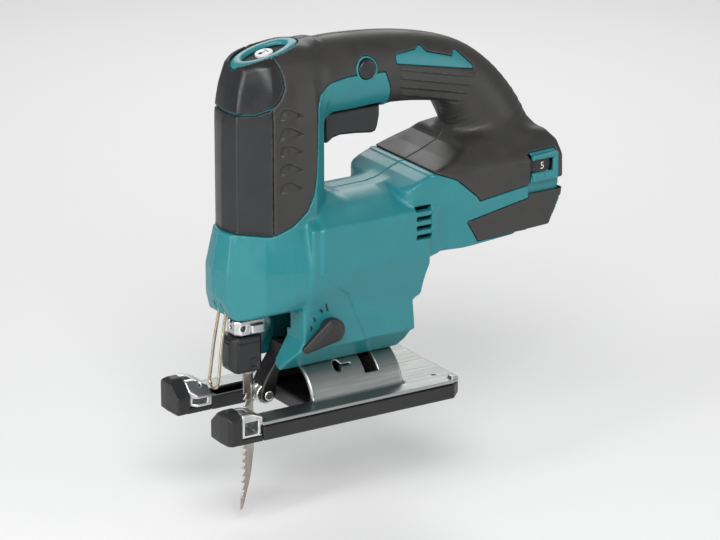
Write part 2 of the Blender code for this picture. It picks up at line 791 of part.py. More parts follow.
def plunger_pieces():
    steel = plated_steel()
    rod = round_bar("rod", "z", (plunger_x, 0), 49, 150, plunger_radius, 24)
    keep(softened(rod, 0.6), "plunger", steel, (plunger_x, 0, 100))
    yoke = block("yoke", (-46.2, -18.0, pin_z - 6), (-29, 18.0, pin_z + 6))
    yoke = cut(yoke, block("yoke_front", (-50, -8, pin_z - 9), (-45.2, 8, pin_z + 9)))
    trims = []
    for side in (-1, 1):
        corner = [(-50, side * 6), (-50, side * 30), (-33, side * 30), (-33, side * 20)]
        trims.append(prism("yoke_corner", "z", corner, pin_z - 9, pin_z + 9))
    yoke = cut(yoke, block("yoke_slot", (-33.5, -15.9, pin_z - 2.8), (-20, 15.9, pin_z + 2.8)), *trims)
    yoke = cut(yoke, round_bar("yoke_bore", "z", (plunger_x, 0), pin_z - 9, pin_z + 9, plunger_bore, 24))
    keep(yoke, "plunger_yoke", dark_steel())
    for name, low, high in (("upper_bush", 137.3, 146.7), ("lower_bush", 81.8, 91.7)):
        bush = round_bar(name, "z", (plunger_x, 0), low, high, bush_radius, 24)
        bush = cut(bush, round_bar("bush_bore", "z", (plunger_x, 0), low - 1, high + 1, plunger_bore, 24))
        keep(bush, name, bronze_alloy())
    plate = block("balance", (-27.6, -18.0, 98), (-22.2, 18.0, 149.5))
    plate = cut(plate, block("balance_gap", (-30, -16.1, 90), (-20, 16.1, 137)))
    keep(plate, "balance_plate", dark_steel())


# ---------------------------------------------------------------- orbital action
def orbital_pieces():
    plastic = black_plastic()
    steel = dark_steel()
    centre = (-7.0, 52.0)
    tip = (-22.6, 43.9)
    lean = math.atan2(tip[1] - centre[1], tip[0] - centre[0])
    outline = arc(centre, 7.0, math.degrees(lean) + 75, math.degrees(lean) + 285, 10)
    outline += arc(tip, 2.4, math.degrees(lean) - 75, math.degrees(lean) + 75, 4)
    lever = softened(prism("lever", "y", outline, -35.6, -29.6), 1.0, 2)
    lever = joined(lever, round_bar("lever_hub", "y", centre, -31, -27.4, 6.2, 24))
    keep(lever, "orbital_lever", plastic, (centre[0], -27.4, centre[1]))

    shaft = round_bar("cam_shaft", "y", centre, -27.1, 10, 3.9, 20)
    flat = block("cam_flat", (-15, -8, centre[1] + 1.2), (0, 12, centre[1] + 8))
    keep(cut(shaft, flat), "cam_shaft", steel, (centre[0], 0, centre[1]))

    outline = [
        (-20, 40.5), (-15.5, 39), (-15, 34), (-17, 31), (-24, 26), (-27, 20), (-29, 14.5), (-33.5, 14.5),
        (-33, 22), (-29, 29), (-24.5, 34), (-23.4, 38.5),
    ]
    arm = prism("arm", "y", outline, -6.2, 6.2)
    cheeks = prism("cheeks", "y", [
        (-27, 22), (-27.5, 10), (-30, 7.6), (-34, 7.6), (-36.6, 10), (-36.4, 14), (-32.5, 22),
    ], -6.1, 6.1)
    arm = joined(arm, cheeks)
    arm = cut(
        arm,
        round_bar("roller_space", "y", (-32, 11.5), -4.0, 4.0, 6.5, 24),
        round_bar("roller_pin_hole", "y", (-32, 11.5), -10, 10, 1.8, 12),
        round_bar("pivot_hole", "y", (-19, 36), -10, 10, 2.3, 12),
    )
    keep(arm, "roller_arm", steel, (-19, 0, 36))
    keep(round_bar("pivot", "y", (-19, 36), -15.5, 15.5, 2.0, 12), "arm_pivot", plated_steel())
    roller = round_bar("roller", "y", (-32, 11.5), -3.7, 3.7, 6.0, 28)
    roller = cut(roller, round_bar("roller_bore", "y", (-32, 11.5), -10, 10, 1.8, 12))
    keep(roller, "guide_roller", plated_steel(), (-32, 0, 11.5))
    keep(round_bar("roller_pin", "y", (-32, 11.5), -7, 7, 1.5, 12), "roller_pin", plated_steel())


# ---------------------------------------------------------------- blade clamp and blade
def clamp_pieces():
    steel = plated_steel()
    holder = block("holder", (-52, -7, 48.6), (-34.2, 7, 57.4))
    ears = block("holder_ears", (-44, -9.5, 49.6), (-36, 9.5, 55))
    holder = softened(joined(holder, ears), 1.0, 2)
    holder = cut(
        holder,
        round_bar("holder_bore", "z", (plunger_x, 0), 40, 70, plunger_bore, 24),
        round_bar("holder_cross", "y", (-48, 53), -20, 20, 1.6, 10),
    )
    keep(holder, "clamp_holder", cast_aluminium())

    socket = round_bar("socket", "z", (blade_x, 0), 25.2, 48.2, 4.2, 24)
    tang = block("tang_slot", (blade_x - 3.6, -0.9, 20), (blade_x + 3.6, 0.9, 45))
    keep(cut(socket, tang), "blade_socket", bronze_alloy())

    outline = mirrored_outline([(-55.4, 0), (-55.4, 3.5), (-53, 7.5), (-51.5, 8.4), (-38.4, 8.4), (-36.2, 5.6), (-36.2, 0)])
    lever = softened(prism("release", "z", outline, 28, 48), 1.2, 2, 60)
    lever = cut(lever, round_bar("release_bore", "z", (blade_x, 0), 20, 60, 4.5, 24))
    keep(lever, "release_lever", black_plastic(), (blade_x, 0, 38))

    front = blade_x - blade_half_width
    back = blade_x + blade_half_width
    outline = [(front, 44.5), (front, 14)]
    pitch, count = 4.0, 15
    for i in range(count):
        z = 13 - pitch * i
        lean = 0.035 * (13 - z)
        outline.append((front - lean + 1.6, z))
        outline.append((front - lean - 0.1, z - pitch + 0.8))
    outline += [(-48.3, -51.5), (-47.6, blade_tip_z), (-45.6, -53.2), (-40.2, -34.3), (back, -20), (back, 44.5)]
    blade = prism("blade", "y", outline, -blade_thick / 2, blade_thick / 2)
    keep(blade, "saw_blade", blade_steel())


def guard_piece():
    """The bent wire in front of the blade."""
    path = [(guard_x, -3.6, 68), (guard_x, -3.6, 62), (-60.3, -4.1, 45), (-62.5, -4.7, 25)]
    path += [(-62.8, -4.7 * math.cos(t), 24.5 - 4.2 * math.sin(t)) for t in (0.5, 1.05)]
    path += [(-62.9, 0, 20.3)]
    path += [(x, -y, z) for x, y, z in reversed(path[:-1])]
    keep(swept("guard", path, [0.9] * len(path), sides=2), "wire_guard", plated_steel())


# ---------------------------------------------------------------- base
def base_pieces():
    low = plate_top - plate_thick
    side = sole_half_width - plate_margin
    rear = sole_rear - plate_margin + 0.2
    plan = mirrored_outline([
        (fork_rear, 0), (fork_rear, fork_half), (plate_front, fork_half), (plate_front, side),
        (sole_rear - corner_cut, side), (rear, side - corner_cut), (rear, 0),
    ])
    plate = prism("plate", "z", plan, low, plate_top)
    bump = round_bar("channel", "x", (0, tilt_axis_z), fork_rear, channel_rear, channel_radius, 64)
    below = block("below", (-40, -40, -40), (60, 40, low + 0.5))
    bump = cut(bump, below)
    plate = joined(plate, bump)
    inner = channel_radius - plate_thick
    hollow = round_bar("channel_hollow", "x", (0, tilt_axis_z), -60, channel_rear - plate_thick, inner, 64)
    plate = cut(plate, cut(hollow, block("under_hollow", (-70, -40, -40), (60, 40, low - 1))))
    reach = math.radians(56)
    slot = [(0, tilt_axis_z + 2)]
    slot += [(40 * math.sin(t), tilt_axis_z + 40 * math.cos(t)) for t in (-reach, -reach / 2, 0, reach / 2, reach)]
    plate = cut(plate, prism("tilt_slot", "x", slot, 19.8, 28.2))
    keep(plate, "base_plate", plated_steel())

    sole = prism("sole", "z", mirrored_outline([
        (fork_rear - 0.5, 0), (fork_rear - 0.5, fork_half + gap), (plate_front, fork_half + gap),
        (plate_front, sole_half_width), (sole_rear - corner_cut, sole_half_width),
        (sole_rear, sole_half_width - corner_cut), (sole_rear, 0),
    ]), 0, low - gap)
    wall_side = sole_half_width - sole_wall
    wall_rear = sole_rear - sole_wall
    fork_wall = fork_half + 2.3
    hollow = mirrored_outline([
        (fork_rear + 2, 0), (fork_rear + 2, fork_wall), (plate_front + 4, fork_wall),
        (plate_front + 4, wall_side), (sole_rear - corner_cut - 1, wall_side),
        (wall_rear, wall_side - corner_cut + 1.5), (wall_rear, 0),
    ])
    sole = cut(sole, prism("sole_hollow", "z", hollow, 2.2, 20))
    sole = cut(sole, round_bar("key_hole", "z", (24, 0), -5, 5, 6, 20))
    keep(sole, "sole_cover", black_plastic())

    shoe_pieces()

    angles = [math.radians(a) for a in (-24, -12, 0, 12, 24)]
    over = channel_radius - plate_thick - clamp_room
    under = over - clamp_thick
    outer = [(over * math.sin(t), tilt_axis_z + over * math.cos(t)) for t in angles]
    inner = [(under * math.sin(t), tilt_axis_z + under * math.cos(t)) for t in reversed(angles)]
    clamp = prism("clamp", "x", outer + inner, 12, 36)
    head = tilt_axis_z + under - 0.8
    clamp = cut(clamp, round_bar("clamp_bore", "z", (24, 0), 10, 40, 2.9, 12))
    keep(clamp, "clamp_plate", dark_steel())
    bolt = round_bar("bolt", "z", (24, 0), head - 1, 43.5, 2.6, 16)
    bolt = joined(bolt, round_bar("bolt_head", "z", (24, 0), head - 5.5, head, 4.6, 18))
    bolt = cut(bolt, round_bar("bolt_socket", "z", (24, 0), head - 10, head - 2.5, 2.5, 6))
    keep(bolt, "base_bolt", dark_steel())


def shoe_pieces():
    """Cast noses with the rip-fence sockets, and the plastic caps in front of them."""
    shoe_side = sole_half_width - 0.6
    body = prism("shoe", "z", [
        (plate_front - gap, -fork_half), (plate_front - gap, -shoe_side), (nose_front, -shoe_side),
        (nose_front, -fork_half - 3), (nose_front + 4, -fork_half),
    ], 0.4, 16.8)
    top = prism("shoe_top", "y", [(-80, 40), (-80, 16.8), (-62, 16.8), (-56, 13.8), (-50, 12.8), (-50, 40)], -60, 0)
    inner = prism("shoe_slope", "x", [
        (-fork_half - 8.2, 17.6), (-fork_half + 1, 8.4), (0, 8.4), (0, 30), (-fork_half - 8.2, 30),
    ], -90, -40)
    socket = block("socket", (-65.2, -60, 3.4), (-57, 11 - sole_half_width, 12.6))
    way = block("socket_way", (-65.2, -60, 3.4), (-57, 0, 8.0))
    shoe = softened(cut(body, top, inner), 0.8)
    shoe = cut(shoe, socket, way, block("shoe_slot", (-70, 5 - sole_half_width, 11), (-60.5, 11 - sole_half_width, 20)))
    left = keep(shoe, "left_shoe", cast_aluminium())
    keep(mirrored(left, "right_shoe"), "right_shoe", cast_aluminium())

    cap = prism("cap", "z", [
        (nose_front - gap, -fork_half - 1), (nose_front - gap, -sole_half_width),
        (cap_front + 2.5, -sole_half_width), (cap_front + 0.5, 2 - sole_half_width),
        (cap_front, 9 - sole_half_width), (cap_front + 0.5, -fork_half - 1.5),
        (cap_front + 1.5, -fork_half - 0.5),
    ], 0.2, 19.2)
    slope = prism("cap_slope", "x", [
        (-sole_half_width - 7, 17.4), (-sole_half_width - 0.2, 14), (5 - sole_half_width, 18.6),
        (-fork_half - 10.5, 18.6), (-fork_half, 9.2), (0, 9.2), (0, 40), (-sole_half_width - 7, 40),
    ], -90, -50)
    cap = softened(cut(cap, slope), 1.0, 2)
    left = keep(cap, "left_cap", black_plastic())
    keep(mirrored(left, "right_cap"), "right_cap", black_plastic())


def housing_screws():
    steel = dark_steel()
    for i, (x, z) in enumerate(body_screws):
        seat = screw_seat(x, z)
        screw = turned("screw", [
            (0, seat + 2.4), (3.2, seat + 2.2), (3.2, seat + gap), (1.5, seat + gap), (1.5, -8.5), (0, -8.5),
        ], "y", (x, 0, z), 12)
        keep(screw, "housing_screw_%d" % (i + 1), steel)


clear_scene()
pieces = new_collection("jigsaw", True)
helpers = new_collection("helpers", False)
housing_pieces()
display_pieces()
trigger_pieces()
dial_pieces()
electronics_pieces()
motor_pieces()
gear_case()
crank_pieces()
plunger_pieces()
orbital_pieces()
clamp_pieces()
guard_piece()
base_pieces()
housing_screws()
for helper in helpers.objects:
    helper.display_type = "WIRE"
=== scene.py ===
# Cordless top-handle jigsaw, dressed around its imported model.
# Lengths in the lists are millimetres; the mesh helpers turn them into metres.
import json

import bpy
import numpy as np
from mathutils import Matrix, Vector


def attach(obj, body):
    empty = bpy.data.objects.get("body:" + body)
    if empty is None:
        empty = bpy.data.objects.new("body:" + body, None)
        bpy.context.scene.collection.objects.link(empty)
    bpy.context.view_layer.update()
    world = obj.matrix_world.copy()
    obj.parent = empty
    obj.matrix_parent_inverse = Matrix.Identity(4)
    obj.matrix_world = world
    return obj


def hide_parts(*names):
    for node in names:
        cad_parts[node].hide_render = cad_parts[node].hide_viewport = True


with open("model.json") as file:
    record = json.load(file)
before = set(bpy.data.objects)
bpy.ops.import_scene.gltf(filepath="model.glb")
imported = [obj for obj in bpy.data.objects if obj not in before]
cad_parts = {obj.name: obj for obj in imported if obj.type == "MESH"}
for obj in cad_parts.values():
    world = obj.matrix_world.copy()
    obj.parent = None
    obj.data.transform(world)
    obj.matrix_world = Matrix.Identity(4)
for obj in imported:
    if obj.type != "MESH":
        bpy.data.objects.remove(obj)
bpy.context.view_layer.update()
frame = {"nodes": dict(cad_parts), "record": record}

mm = 0.001


# Fields: a shape is where a function of x, y, z is below zero
# The larger of two distances, rounded over a width k where they are close: it cuts with a soft edge.
def smoothMax(a, b, k):
    near = np.maximum(k - np.abs(a - b), 0) / k
    return np.maximum(a, b) + near * near * k * 0.25


# The smaller of two distances, filled over a width k where they are close: it joins with a fillet.
def smoothMin(a, b, k):
    return -smoothMax(-a, -b, k)


# Distance to a closed outline, below zero inside: the nearest point of every edge, signed by crossings.
def outlineDistance(outline, a, b):
    nearest, inside = np.float32(1e12), np.zeros(np.broadcast(a, b).shape, bool)
    for (pa, pb), (qa, qb) in zip(outline, list(outline[1:]) + [outline[0]]):
        da, db = qa - pa, qb - pb
        share = np.clip(((a - pa) * da + (b - pb) * db) / (da * da + db * db), 0, 1)
        nearest = np.minimum(nearest, (a - pa - share * da) ** 2 + (b - pb - share * db) ** 2)
        if db:
            inside = inside ^ (((pb > b) != (qb > b)) & (a < da * (b - pb) / db + pa))
    return np.where(inside, -1, 1) * np.sqrt(nearest)


# Distance to the nearest edge of an open row of points.
def pathDistance(path, a, b):
    nearest = np.float32(1e12)
    for (pa, pb), (qa, qb) in zip(path[:-1], path[1:]):
        da, db = qa - pa, qb - pb
        share = np.clip(((a - pa) * da + (b - pb) * db) / (da * da + db * db), 0, 1)
        nearest = np.minimum(nearest, (a - pa - share * da) ** 2 + (b - pb - share * db) ** 2)
    return np.sqrt(nearest)


# The outline moved inwards by an equal amount at each edge: corners slide along their bisectors.
def shrunk(outline, inwards):
    here = np.array(outline, float)
    first = here - np.roll(here, 1, 0)
    second = np.roll(here, -1, 0) - here
    first /= np.linalg.norm(first, axis=1)[:, None]
    second /= np.linalg.norm(second, axis=1)[:, None]
    turn = np.sign(np.sum(here[:, 0] * np.roll(here[:, 1], -1) - np.roll(here[:, 0], -1) * here[:, 1]))
    bisector = np.stack([-first[:, 1] - second[:, 1], first[:, 0] + second[:, 0]], 1)
    bisector /= np.linalg.norm(bisector, axis=1)[:, None]
    across = np.maximum(-bisector[:, 0] * first[:, 1] + bisector[:, 1] * first[:, 0], 0.3)
    return [tuple(point) for point in here + bisector * (turn * inwards / across)[:, None]]


# An outline whose outward corners are round: the distance to its shrunken copy, less the radius.
def softOutline(outline, radius, a, b):
    return outlineDistance(shrunk(outline, radius), a, b) - radius


# Half an outline and its mirror image across the second axis, in one closed row.
def mirroredOutline(half):
    return list(half) + [(a, -b) for a, b in reversed(half) if b > 0]


# A box with rounded edges: the distance from the box shrunk by its radius, less the radius.
def boxField(low, high, radius=0.0):
    middle = (np.array(low) + high) / 2
    reach = (np.array(high) - low) / 2 - radius

    def field(x, y, z):
        dx, dy, dz = (np.abs(v - m) - r for v, m, r in zip((x, y, z), middle, reach))
        outside = np.sqrt(np.maximum(dx, 0) ** 2 + np.maximum(dy, 0) ** 2 + np.maximum(dz, 0) ** 2)
        return outside + np.minimum(np.maximum(dx, np.maximum(dy, dz)), 0) - radius

    return field, low, high


# A tool along an axis, with the box it lies in: the larger of a distance worked out across the axis and of
# how far a point is past the ends, rounded over the rim where one is given.
def toolAlong(axis, sideways, low, high, start, end, rim=0.0):
    order = {"x": (1, 2, 0), "y": (0, 2, 1), "z": (0, 1, 2)}[axis]

    def field(x, y, z):
        a, b, along = ((x, y, z)[i] for i in order)
        side, past = sideways(a, b), np.maximum(start - along, along - end)
        return smoothMax(side, past, rim) if rim else np.maximum(side, past)

    spread = [(low[0], high[0]), (low[1], high[1])]
    spread.insert(order[2], (start, end))
    return (field, *zip(*spread))


# A round bar along an axis: the distance from its middle line, less the radius.
def barField(axis, centre, start, end, radius):
    ca, cb = centre
    return toolAlong(
        axis, lambda a, b: np.sqrt((a - ca) ** 2 + (b - cb) ** 2) - radius,
        (ca - radius, cb - radius), (ca + radius, cb + radius), start, end,
    )


# An outline stretched along an axis, with sharp edges: the distance from the outline.
def prismField(outline, axis, start, end):
    return toolAlong(
        axis, lambda a, b: outlineDistance(outline, a, b),
        np.min(outline, 0), np.max(outline, 0), start, end,
    )


# The same with its corners and its rims rounded: the distance from the shrunken outline, less the corner.
def blockField(outline, axis, start, end, corner=0.6, rim=0.8):
    return toolAlong(
        axis, lambda a, b: softOutline(outline, corner, a, b),
        np.min(outline, 0), np.max(outline, 0), start, end, rim,
    )


# A tool taken out of a body. On a whole grid only the cells around the tool's own box are worked out.
def cutAway(body, tool, x, y, z):
    field, low, high = tool
    if x.ndim < 3:
        return np.maximum(body, -field(x, y, z))
    a, b, c = (
        slice(*np.searchsorted(axis.ravel(), (start - 2, end + 2)))
        for axis, start, end in zip((x, y, z), low, high)
    )
    if body[a, b, c].size:
        body[a, b, c] = np.maximum(body[a, b, c], -field(x[a], y[:, b], z[:, :, c]))
    return body


# The skin of a field, by one point in every grid cell it passes through. Each point is the mean of the
# crossings on the cell's edges, then slides along the field's slope until the field is zero, and each
# crossed grid edge gets a face between the four cells around it, turned to face outwards.
def skinOfField(field, low, high, step):
    axes = [np.arange(a - 1.5 * step, b + 2.5 * step, step, dtype=np.float32) for a, b in zip(low, high)]
    x, y, z = np.meshgrid(*axes, indexing="ij", sparse=True)
    shape = [len(axis) for axis in axes]
    values = np.ascontiguousarray(np.broadcast_to(field(x, y, z), shape), dtype=np.float32)
    inside = values < 0
    count = np.zeros([n - 1 for n in shape], np.uint8)
    for i in (0, 1):
        for j in (0, 1):
            for k in (0, 1):
                count += inside[i:shape[0] - 1 + i, j:shape[1] - 1 + j, k:shape[2] - 1 + k]
    crossed = (count > 0) & (count < 8)
    cells = np.argwhere(crossed)
    index = np.full(crossed.shape, -1, np.int64)
    index[crossed] = np.arange(len(cells))
    total, hits = np.zeros((len(cells), 3)), np.zeros(len(cells))
    for axis in range(3):
        for side in range(4):
            start = np.zeros(3, int)
            start[(axis + 1) % 3], start[(axis + 2) % 3] = side & 1, side >> 1
            end = start.copy()
            end[axis] = 1
            a, b = values[tuple((cells + start).T)], values[tuple((cells + end).T)]
            cross = (a < 0) != (b < 0)
            place = (cells + start).astype(float)
            place[:, axis] += a / np.where(cross, a - b, 1)
            total += np.where(cross[:, None], place, 0)
            hits += cross
    points = total / hits[:, None] * step + [axis[0] for axis in axes]
    value = field(*points.T)
    slope, turn = slopeOf(field, points, value, 0.5)
    for _ in range(2):
        move = slope * (value / np.maximum((slope ** 2).sum(1), 0.3))[:, None]
        points -= np.clip(move, -0.4 * step, 0.4 * step)
        value = field(*points.T)
    faces = []
    for axis in range(3):
        u, v = (axis + 1) % 3, (axis + 2) % 3
        ahead = [slice(None)] * 3
        behind = [slice(None)] * 3
        ahead[axis], behind[axis] = slice(1, None), slice(None, -1)
        first, second = inside[tuple(behind)], inside[tuple(ahead)]
        at = np.argwhere(first != second)
        at = at[(at[:, u] > 0) & (at[:, v] > 0) & (at[:, u] < shape[u] - 1) & (at[:, v] < shape[v] - 1)]
        around = []
        for du, dv in ((-1, -1), (0, -1), (0, 0), (-1, 0)):
            cell = at.copy()
            cell[:, u] += du
            cell[:, v] += dv
            around.append(index[tuple(cell.T)])
        quads = np.stack(around, 1)
        outwards = first[tuple(at.T)]
        faces.append(np.where(outwards[:, None], quads, quads[:, ::-1]))
    return points, np.concatenate(faces), turn


# The slope of a field at points, half the difference between a little ahead and behind on each axis, and
# how sharply its skin turns outwards there, the sum of its second differences.
def slopeOf(field, points, value, reach):
    slopes, turn = [], -6 * value
    for axis in range(3):
        shift = np.zeros(3)
        shift[axis] = reach
        ahead, behind = field(*(points + shift).T), field(*(points - shift).T)
        slopes.append((ahead - behind) / (2 * reach))
        turn = turn + ahead + behind
    return np.stack(slopes, 1), turn / reach


# A smooth-shaded mesh of points in millimetres.
def newMesh(name, points, faces):
    mesh = bpy.data.meshes.new(name)
    points = np.asarray(points) * mm
    mesh.from_pydata(points.tolist(), [], faces if isinstance(faces, list) else faces.tolist())
    mesh.update(calc_edges=True)
    mesh.validate()
    mesh.polygons.foreach_set("use_smooth", np.ones(len(mesh.polygons), bool))
    return mesh


# A finished piece: its mesh rides on a body, in a material slot, in place of the named solids.
def place(name, mesh, body, slot, material, *nodes):
    obj = bpy.data.objects.new(name, mesh)
    bpy.context.scene.collection.objects.link(obj)
    mesh.materials.append(material)
    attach(obj, body)
    if nodes:
        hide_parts(*nodes)
    return obj


# One number for each point, under a name that the materials read.
def setAttribute(mesh, name, values):
    layer = mesh.attributes.new(name, "FLOAT", "POINT")
    layer.data.foreach_set("value", np.asarray(values, np.float32))


# A moulded piece: the skin of its field, with how sharply it turns kept as the attribute "edge".
def moulded(name, field, low, high, step, body, slot, material, *nodes):
    step = step * 1
    points, faces, turn = skinOfField(field, low, high, step)
    mesh = newMesh(name, points, faces)
    setAttribute(mesh, "edge", np.clip(turn, -1.5, 1.5))
    print(f"{name}: {len(faces)} faces")
    return place(name, mesh, body, slot, material, *nodes)


# Shared effects, as shader groups
# A group with the given inputs and outputs: (name, kind, start value) for each input.
def newGroup(name, inputs, outputs):
    tree = bpy.data.node_groups.new(name, "ShaderNodeTree")
    for label, kind, value in inputs:
        socket = tree.interface.new_socket(label, in_out="INPUT", socket_type="NodeSocket" + kind)
        socket.default_value = value
    for label, kind in outputs:
        tree.interface.new_socket(label, in_out="OUTPUT", socket_type="NodeSocket" + kind)
    return tree, tree.nodes.new("NodeGroupInput"), tree.nodes.new("NodeGroupOutput")


# A shader node with its inputs given by name, or by i and a number; a socket is linked, a value is set.
def addNode(tree, kind, settings=(), **inputs):
    node = tree.nodes.new("ShaderNode" + kind)
    for label, value in dict(settings).items():
        setattr(node, label, value)
    for label, value in inputs.items():
        numbered = label[0] == "i" and label[1:].isdigit()
        socket = node.inputs[int(label[1:]) if numbered else label.replace("_", " ")]
        if isinstance(value, bpy.types.NodeSocket):
            tree.links.new(value, socket)
        else:
            socket.default_value = value
    return node


# A value moved in a straight line from one range to another, and held at its ends.
def remap(tree, value, low, high, toLow=0.0, toHigh=1.0):
    node = addNode(tree, "MapRange", Value=value)
    for label, number in zip(("From Min", "From Max", "To Min", "To Max"), (low, high, toLow, toHigh)):
        node.inputs[label].default_value = number
    return node.outputs[0]


# Spark-eroded mould grain: fine noise in two sizes with a soft mottle, in metres of object space.
def grainGroup():
    tree, given, out = newGroup(
        "mouldGrain",
        [("Size", "Float", 2600.0), ("Mottle", "Float", 90.0)],
        [("Grain", "Float"), ("Mottle", "Float")],
    )
    place = addNode(tree, "TexCoord").outputs["Object"]
    fine = addNode(tree, "TexNoise", Vector=place, Scale=given.outputs["Size"], Detail=2.0, Roughness=0.6)
    wide = addNode(tree, "TexNoise", Vector=place, Scale=given.outputs["Mottle"], Detail=4.0, Roughness=0.6)
    tree.links.new(fine.outputs["Fac"], out.inputs["Grain"])
    tree.links.new(remap(tree, wide.outputs["Fac"], 0.3, 0.7), out.inputs["Mottle"])
    return tree


# Rubbing and painted highlight where the surface turns outwards: the stored edge value broken up by noise.
def wearGroup():
    tree, given, out = newGroup(
        "edgeWearAndHighlight",
        [("Amount", "Float", 1.0), ("Break Up", "Float", 220.0)],
        [("WearAndHighlight", "Float"), ("Soft Edge", "Float")],
    )
    edge = addNode(tree, "Attribute", {"attribute_name": "edge"}).outputs["Fac"]
    place = addNode(tree, "TexCoord").outputs["Object"]
    noise = addNode(tree, "TexNoise", Vector=place, Scale=given.outputs["Break Up"], Detail=5.0, Roughness=0.7)
    soft, patches = remap(tree, edge, 0.1, 0.9), remap(tree, noise.outputs["Fac"], 0.42, 0.68)
    # Edge value times noise patches: where edges are painted paler, partly rubbing and partly a painted
    # highlight.
    wornAndHighlit = addNode(tree, "Math", {"operation": "MULTIPLY"}, i0=soft, i1=patches)
    wornAndHighlit = addNode(tree, "Math", {"operation": "MULTIPLY"}, i0=wornAndHighlit.outputs[0], i1=given.outputs["Amount"])
    tree.links.new(wornAndHighlit.outputs[0], out.inputs["WearAndHighlight"])
    tree.links.new(soft, out.inputs["Soft Edge"])
    return tree


# Fine hairline scratches: noise stretched a hundred times along one direction, kept where it peaks.
def scratchGroup():
    tree, given, out = newGroup(
        "hairlines",
        [("Stretch", "Vector", (30.0, 900.0, 900.0)), ("Low", "Float", 0.5), ("High", "Float", 0.75)],
        [("Lines", "Float"), ("Streak", "Float")],
    )
    place = addNode(tree, "TexCoord").outputs["Object"]
    scaled = addNode(tree, "VectorMath", {"operation": "MULTIPLY"}, i0=place, i1=given.outputs["Stretch"])
    noise = addNode(tree, "TexNoise", Vector=scaled.outputs[0], Scale=1.0, Detail=3.0, Roughness=0.65)
    lines = addNode(tree, "MapRange", Value=noise.outputs["Fac"])
    tree.links.new(given.outputs["Low"], lines.inputs["From Min"])
    tree.links.new(given.outputs["High"], lines.inputs["From Max"])
    tree.links.new(lines.outputs[0], out.inputs["Lines"])
    tree.links.new(noise.outputs["Fac"], out.inputs["Streak"])
    return tree


grainTree, wearAndHighlightTree, scratchTree = grainGroup(), wearGroup(), scratchGroup()


# A shader group placed in a material with the material's own values.
def useGroup(tree, group, **inputs):
    node = addNode(tree, "Group", {"node_tree": group})
    for label, value in inputs.items():
        node.inputs[label.replace("_", " ")].default_value = value
    return node


# The first colour, and as much of the second as the share says.
def mixColour(tree, share, first, second):
    node = addNode(tree, "Mix", {"data_type": "RGBA"})
    for socket, value in zip((node.inputs[0], node.inputs[6], node.inputs[7]), (share, first, second)):
        if isinstance(value, bpy.types.NodeSocket):
            tree.links.new(value, socket)
        else:
            socket.default_value = (*value, 1.0) if isinstance(value, tuple) else value
    return node.outputs[2]


# A material with values set on its shader's own sockets.
def newMaterial(name, **sockets):
    mat = bpy.data.materials.new(name)
    mat.use_nodes = True
    tree = mat.node_tree
    shader = tree.nodes["Principled BSDF"]
    for label, value in sockets.items():
        shader.inputs[label.replace("_", " ")].default_value = value
    return mat, tree, shader


# Bumps laid one over another: each takes the normal of the one before.
def addBump(tree, shader, heights, distance=0.00005):
    previous = None
    for height, strength in heights:
        bump = addNode(tree, "Bump", Height=height, Strength=strength, Distance=distance)
        if previous:
            tree.links.new(previous, bump.inputs["Normal"])
        previous = bump.outputs[0]
    tree.links.new(previous, shader.inputs["Normal"])


# A moulded plastic or rubber: its colour mottled a little, paler where edges turn outwards, for rubbing and as
# a painted highlight, with mould grain.
def mouldedFinish(
    name, colour, wornAndHighlit, roughness, grainSize=2600.0, grainDepth=0.25, mottle=0.12, wearAndHighlightAmount=0.5, **sockets,
):
    mat, tree, shader = newMaterial(name, **sockets)
    grain = useGroup(tree, grainTree, Size=grainSize, Mottle=70.0)
    rubAndHighlight = useGroup(tree, wearAndHighlightTree, Amount=wearAndHighlightAmount, Break_Up=260.0)
    darker = tuple(part * (1 - mottle) for part in colour)
    paler = tuple(min(part * (1 + mottle) + 0.004, 1) for part in colour)
    base = mixColour(tree, grain.outputs["Mottle"], darker, paler)
    # Convex edges mixed towards the paler colour: rubbing, and a painted highlight along the creases.
    base = mixColour(tree, rubAndHighlight.outputs["WearAndHighlight"], base, wornAndHighlit)
    tree.links.new(base, shader.inputs["Base Color"])
    spread = remap(tree, grain.outputs["Mottle"], 0, 1, roughness - 0.05, roughness + 0.06)
    tree.links.new(spread, shader.inputs["Roughness"])
    addBump(tree, shader, [(grain.outputs["Grain"], grainDepth), (grain.outputs["Mottle"], grainDepth * 0.3)])
    return mat


# A bare or plated metal: hairlines along one direction, clouds of duller plating, bright edges from rubbing and
# a painted highlight.
def metalFinish(name, colour, dull, roughness, stretch=(30.0, 900.0, 900.0), bump=0.12):
    mat, tree, shader = newMaterial(name, Metallic=1.0)
    lines = useGroup(tree, scratchTree, Stretch=stretch, Low=0.35, High=0.7)
    grain = useGroup(tree, grainTree, Size=1200.0, Mottle=60.0)
    rubAndHighlight = useGroup(tree, wearAndHighlightTree, Amount=0.6, Break_Up=500.0)
    scratched = tuple(part * 0.82 for part in dull)
    rubbedAndHighlit = tuple(min(part * 1.25 + 0.05, 0.95) for part in colour)
    base = mixColour(tree, grain.outputs["Mottle"], colour, dull)
    base = mixColour(tree, lines.outputs["Lines"], base, scratched)
    # Convex edges painted brighter, unbroken: rubbing and a painted highlight.
    base = mixColour(tree, rubAndHighlight.outputs["Soft Edge"], base, rubbedAndHighlit)
    tree.links.new(base, shader.inputs["Base Color"])
    spread = remap(tree, lines.outputs["Streak"], 0.3, 0.7, roughness - 0.08, roughness + 0.1)
    tree.links.new(spread, shader.inputs["Roughness"])
    addBump(tree, shader, [(lines.outputs["Streak"], bump), (grain.outputs["Grain"], bump * 0.6)], 0.00003)
    return mat


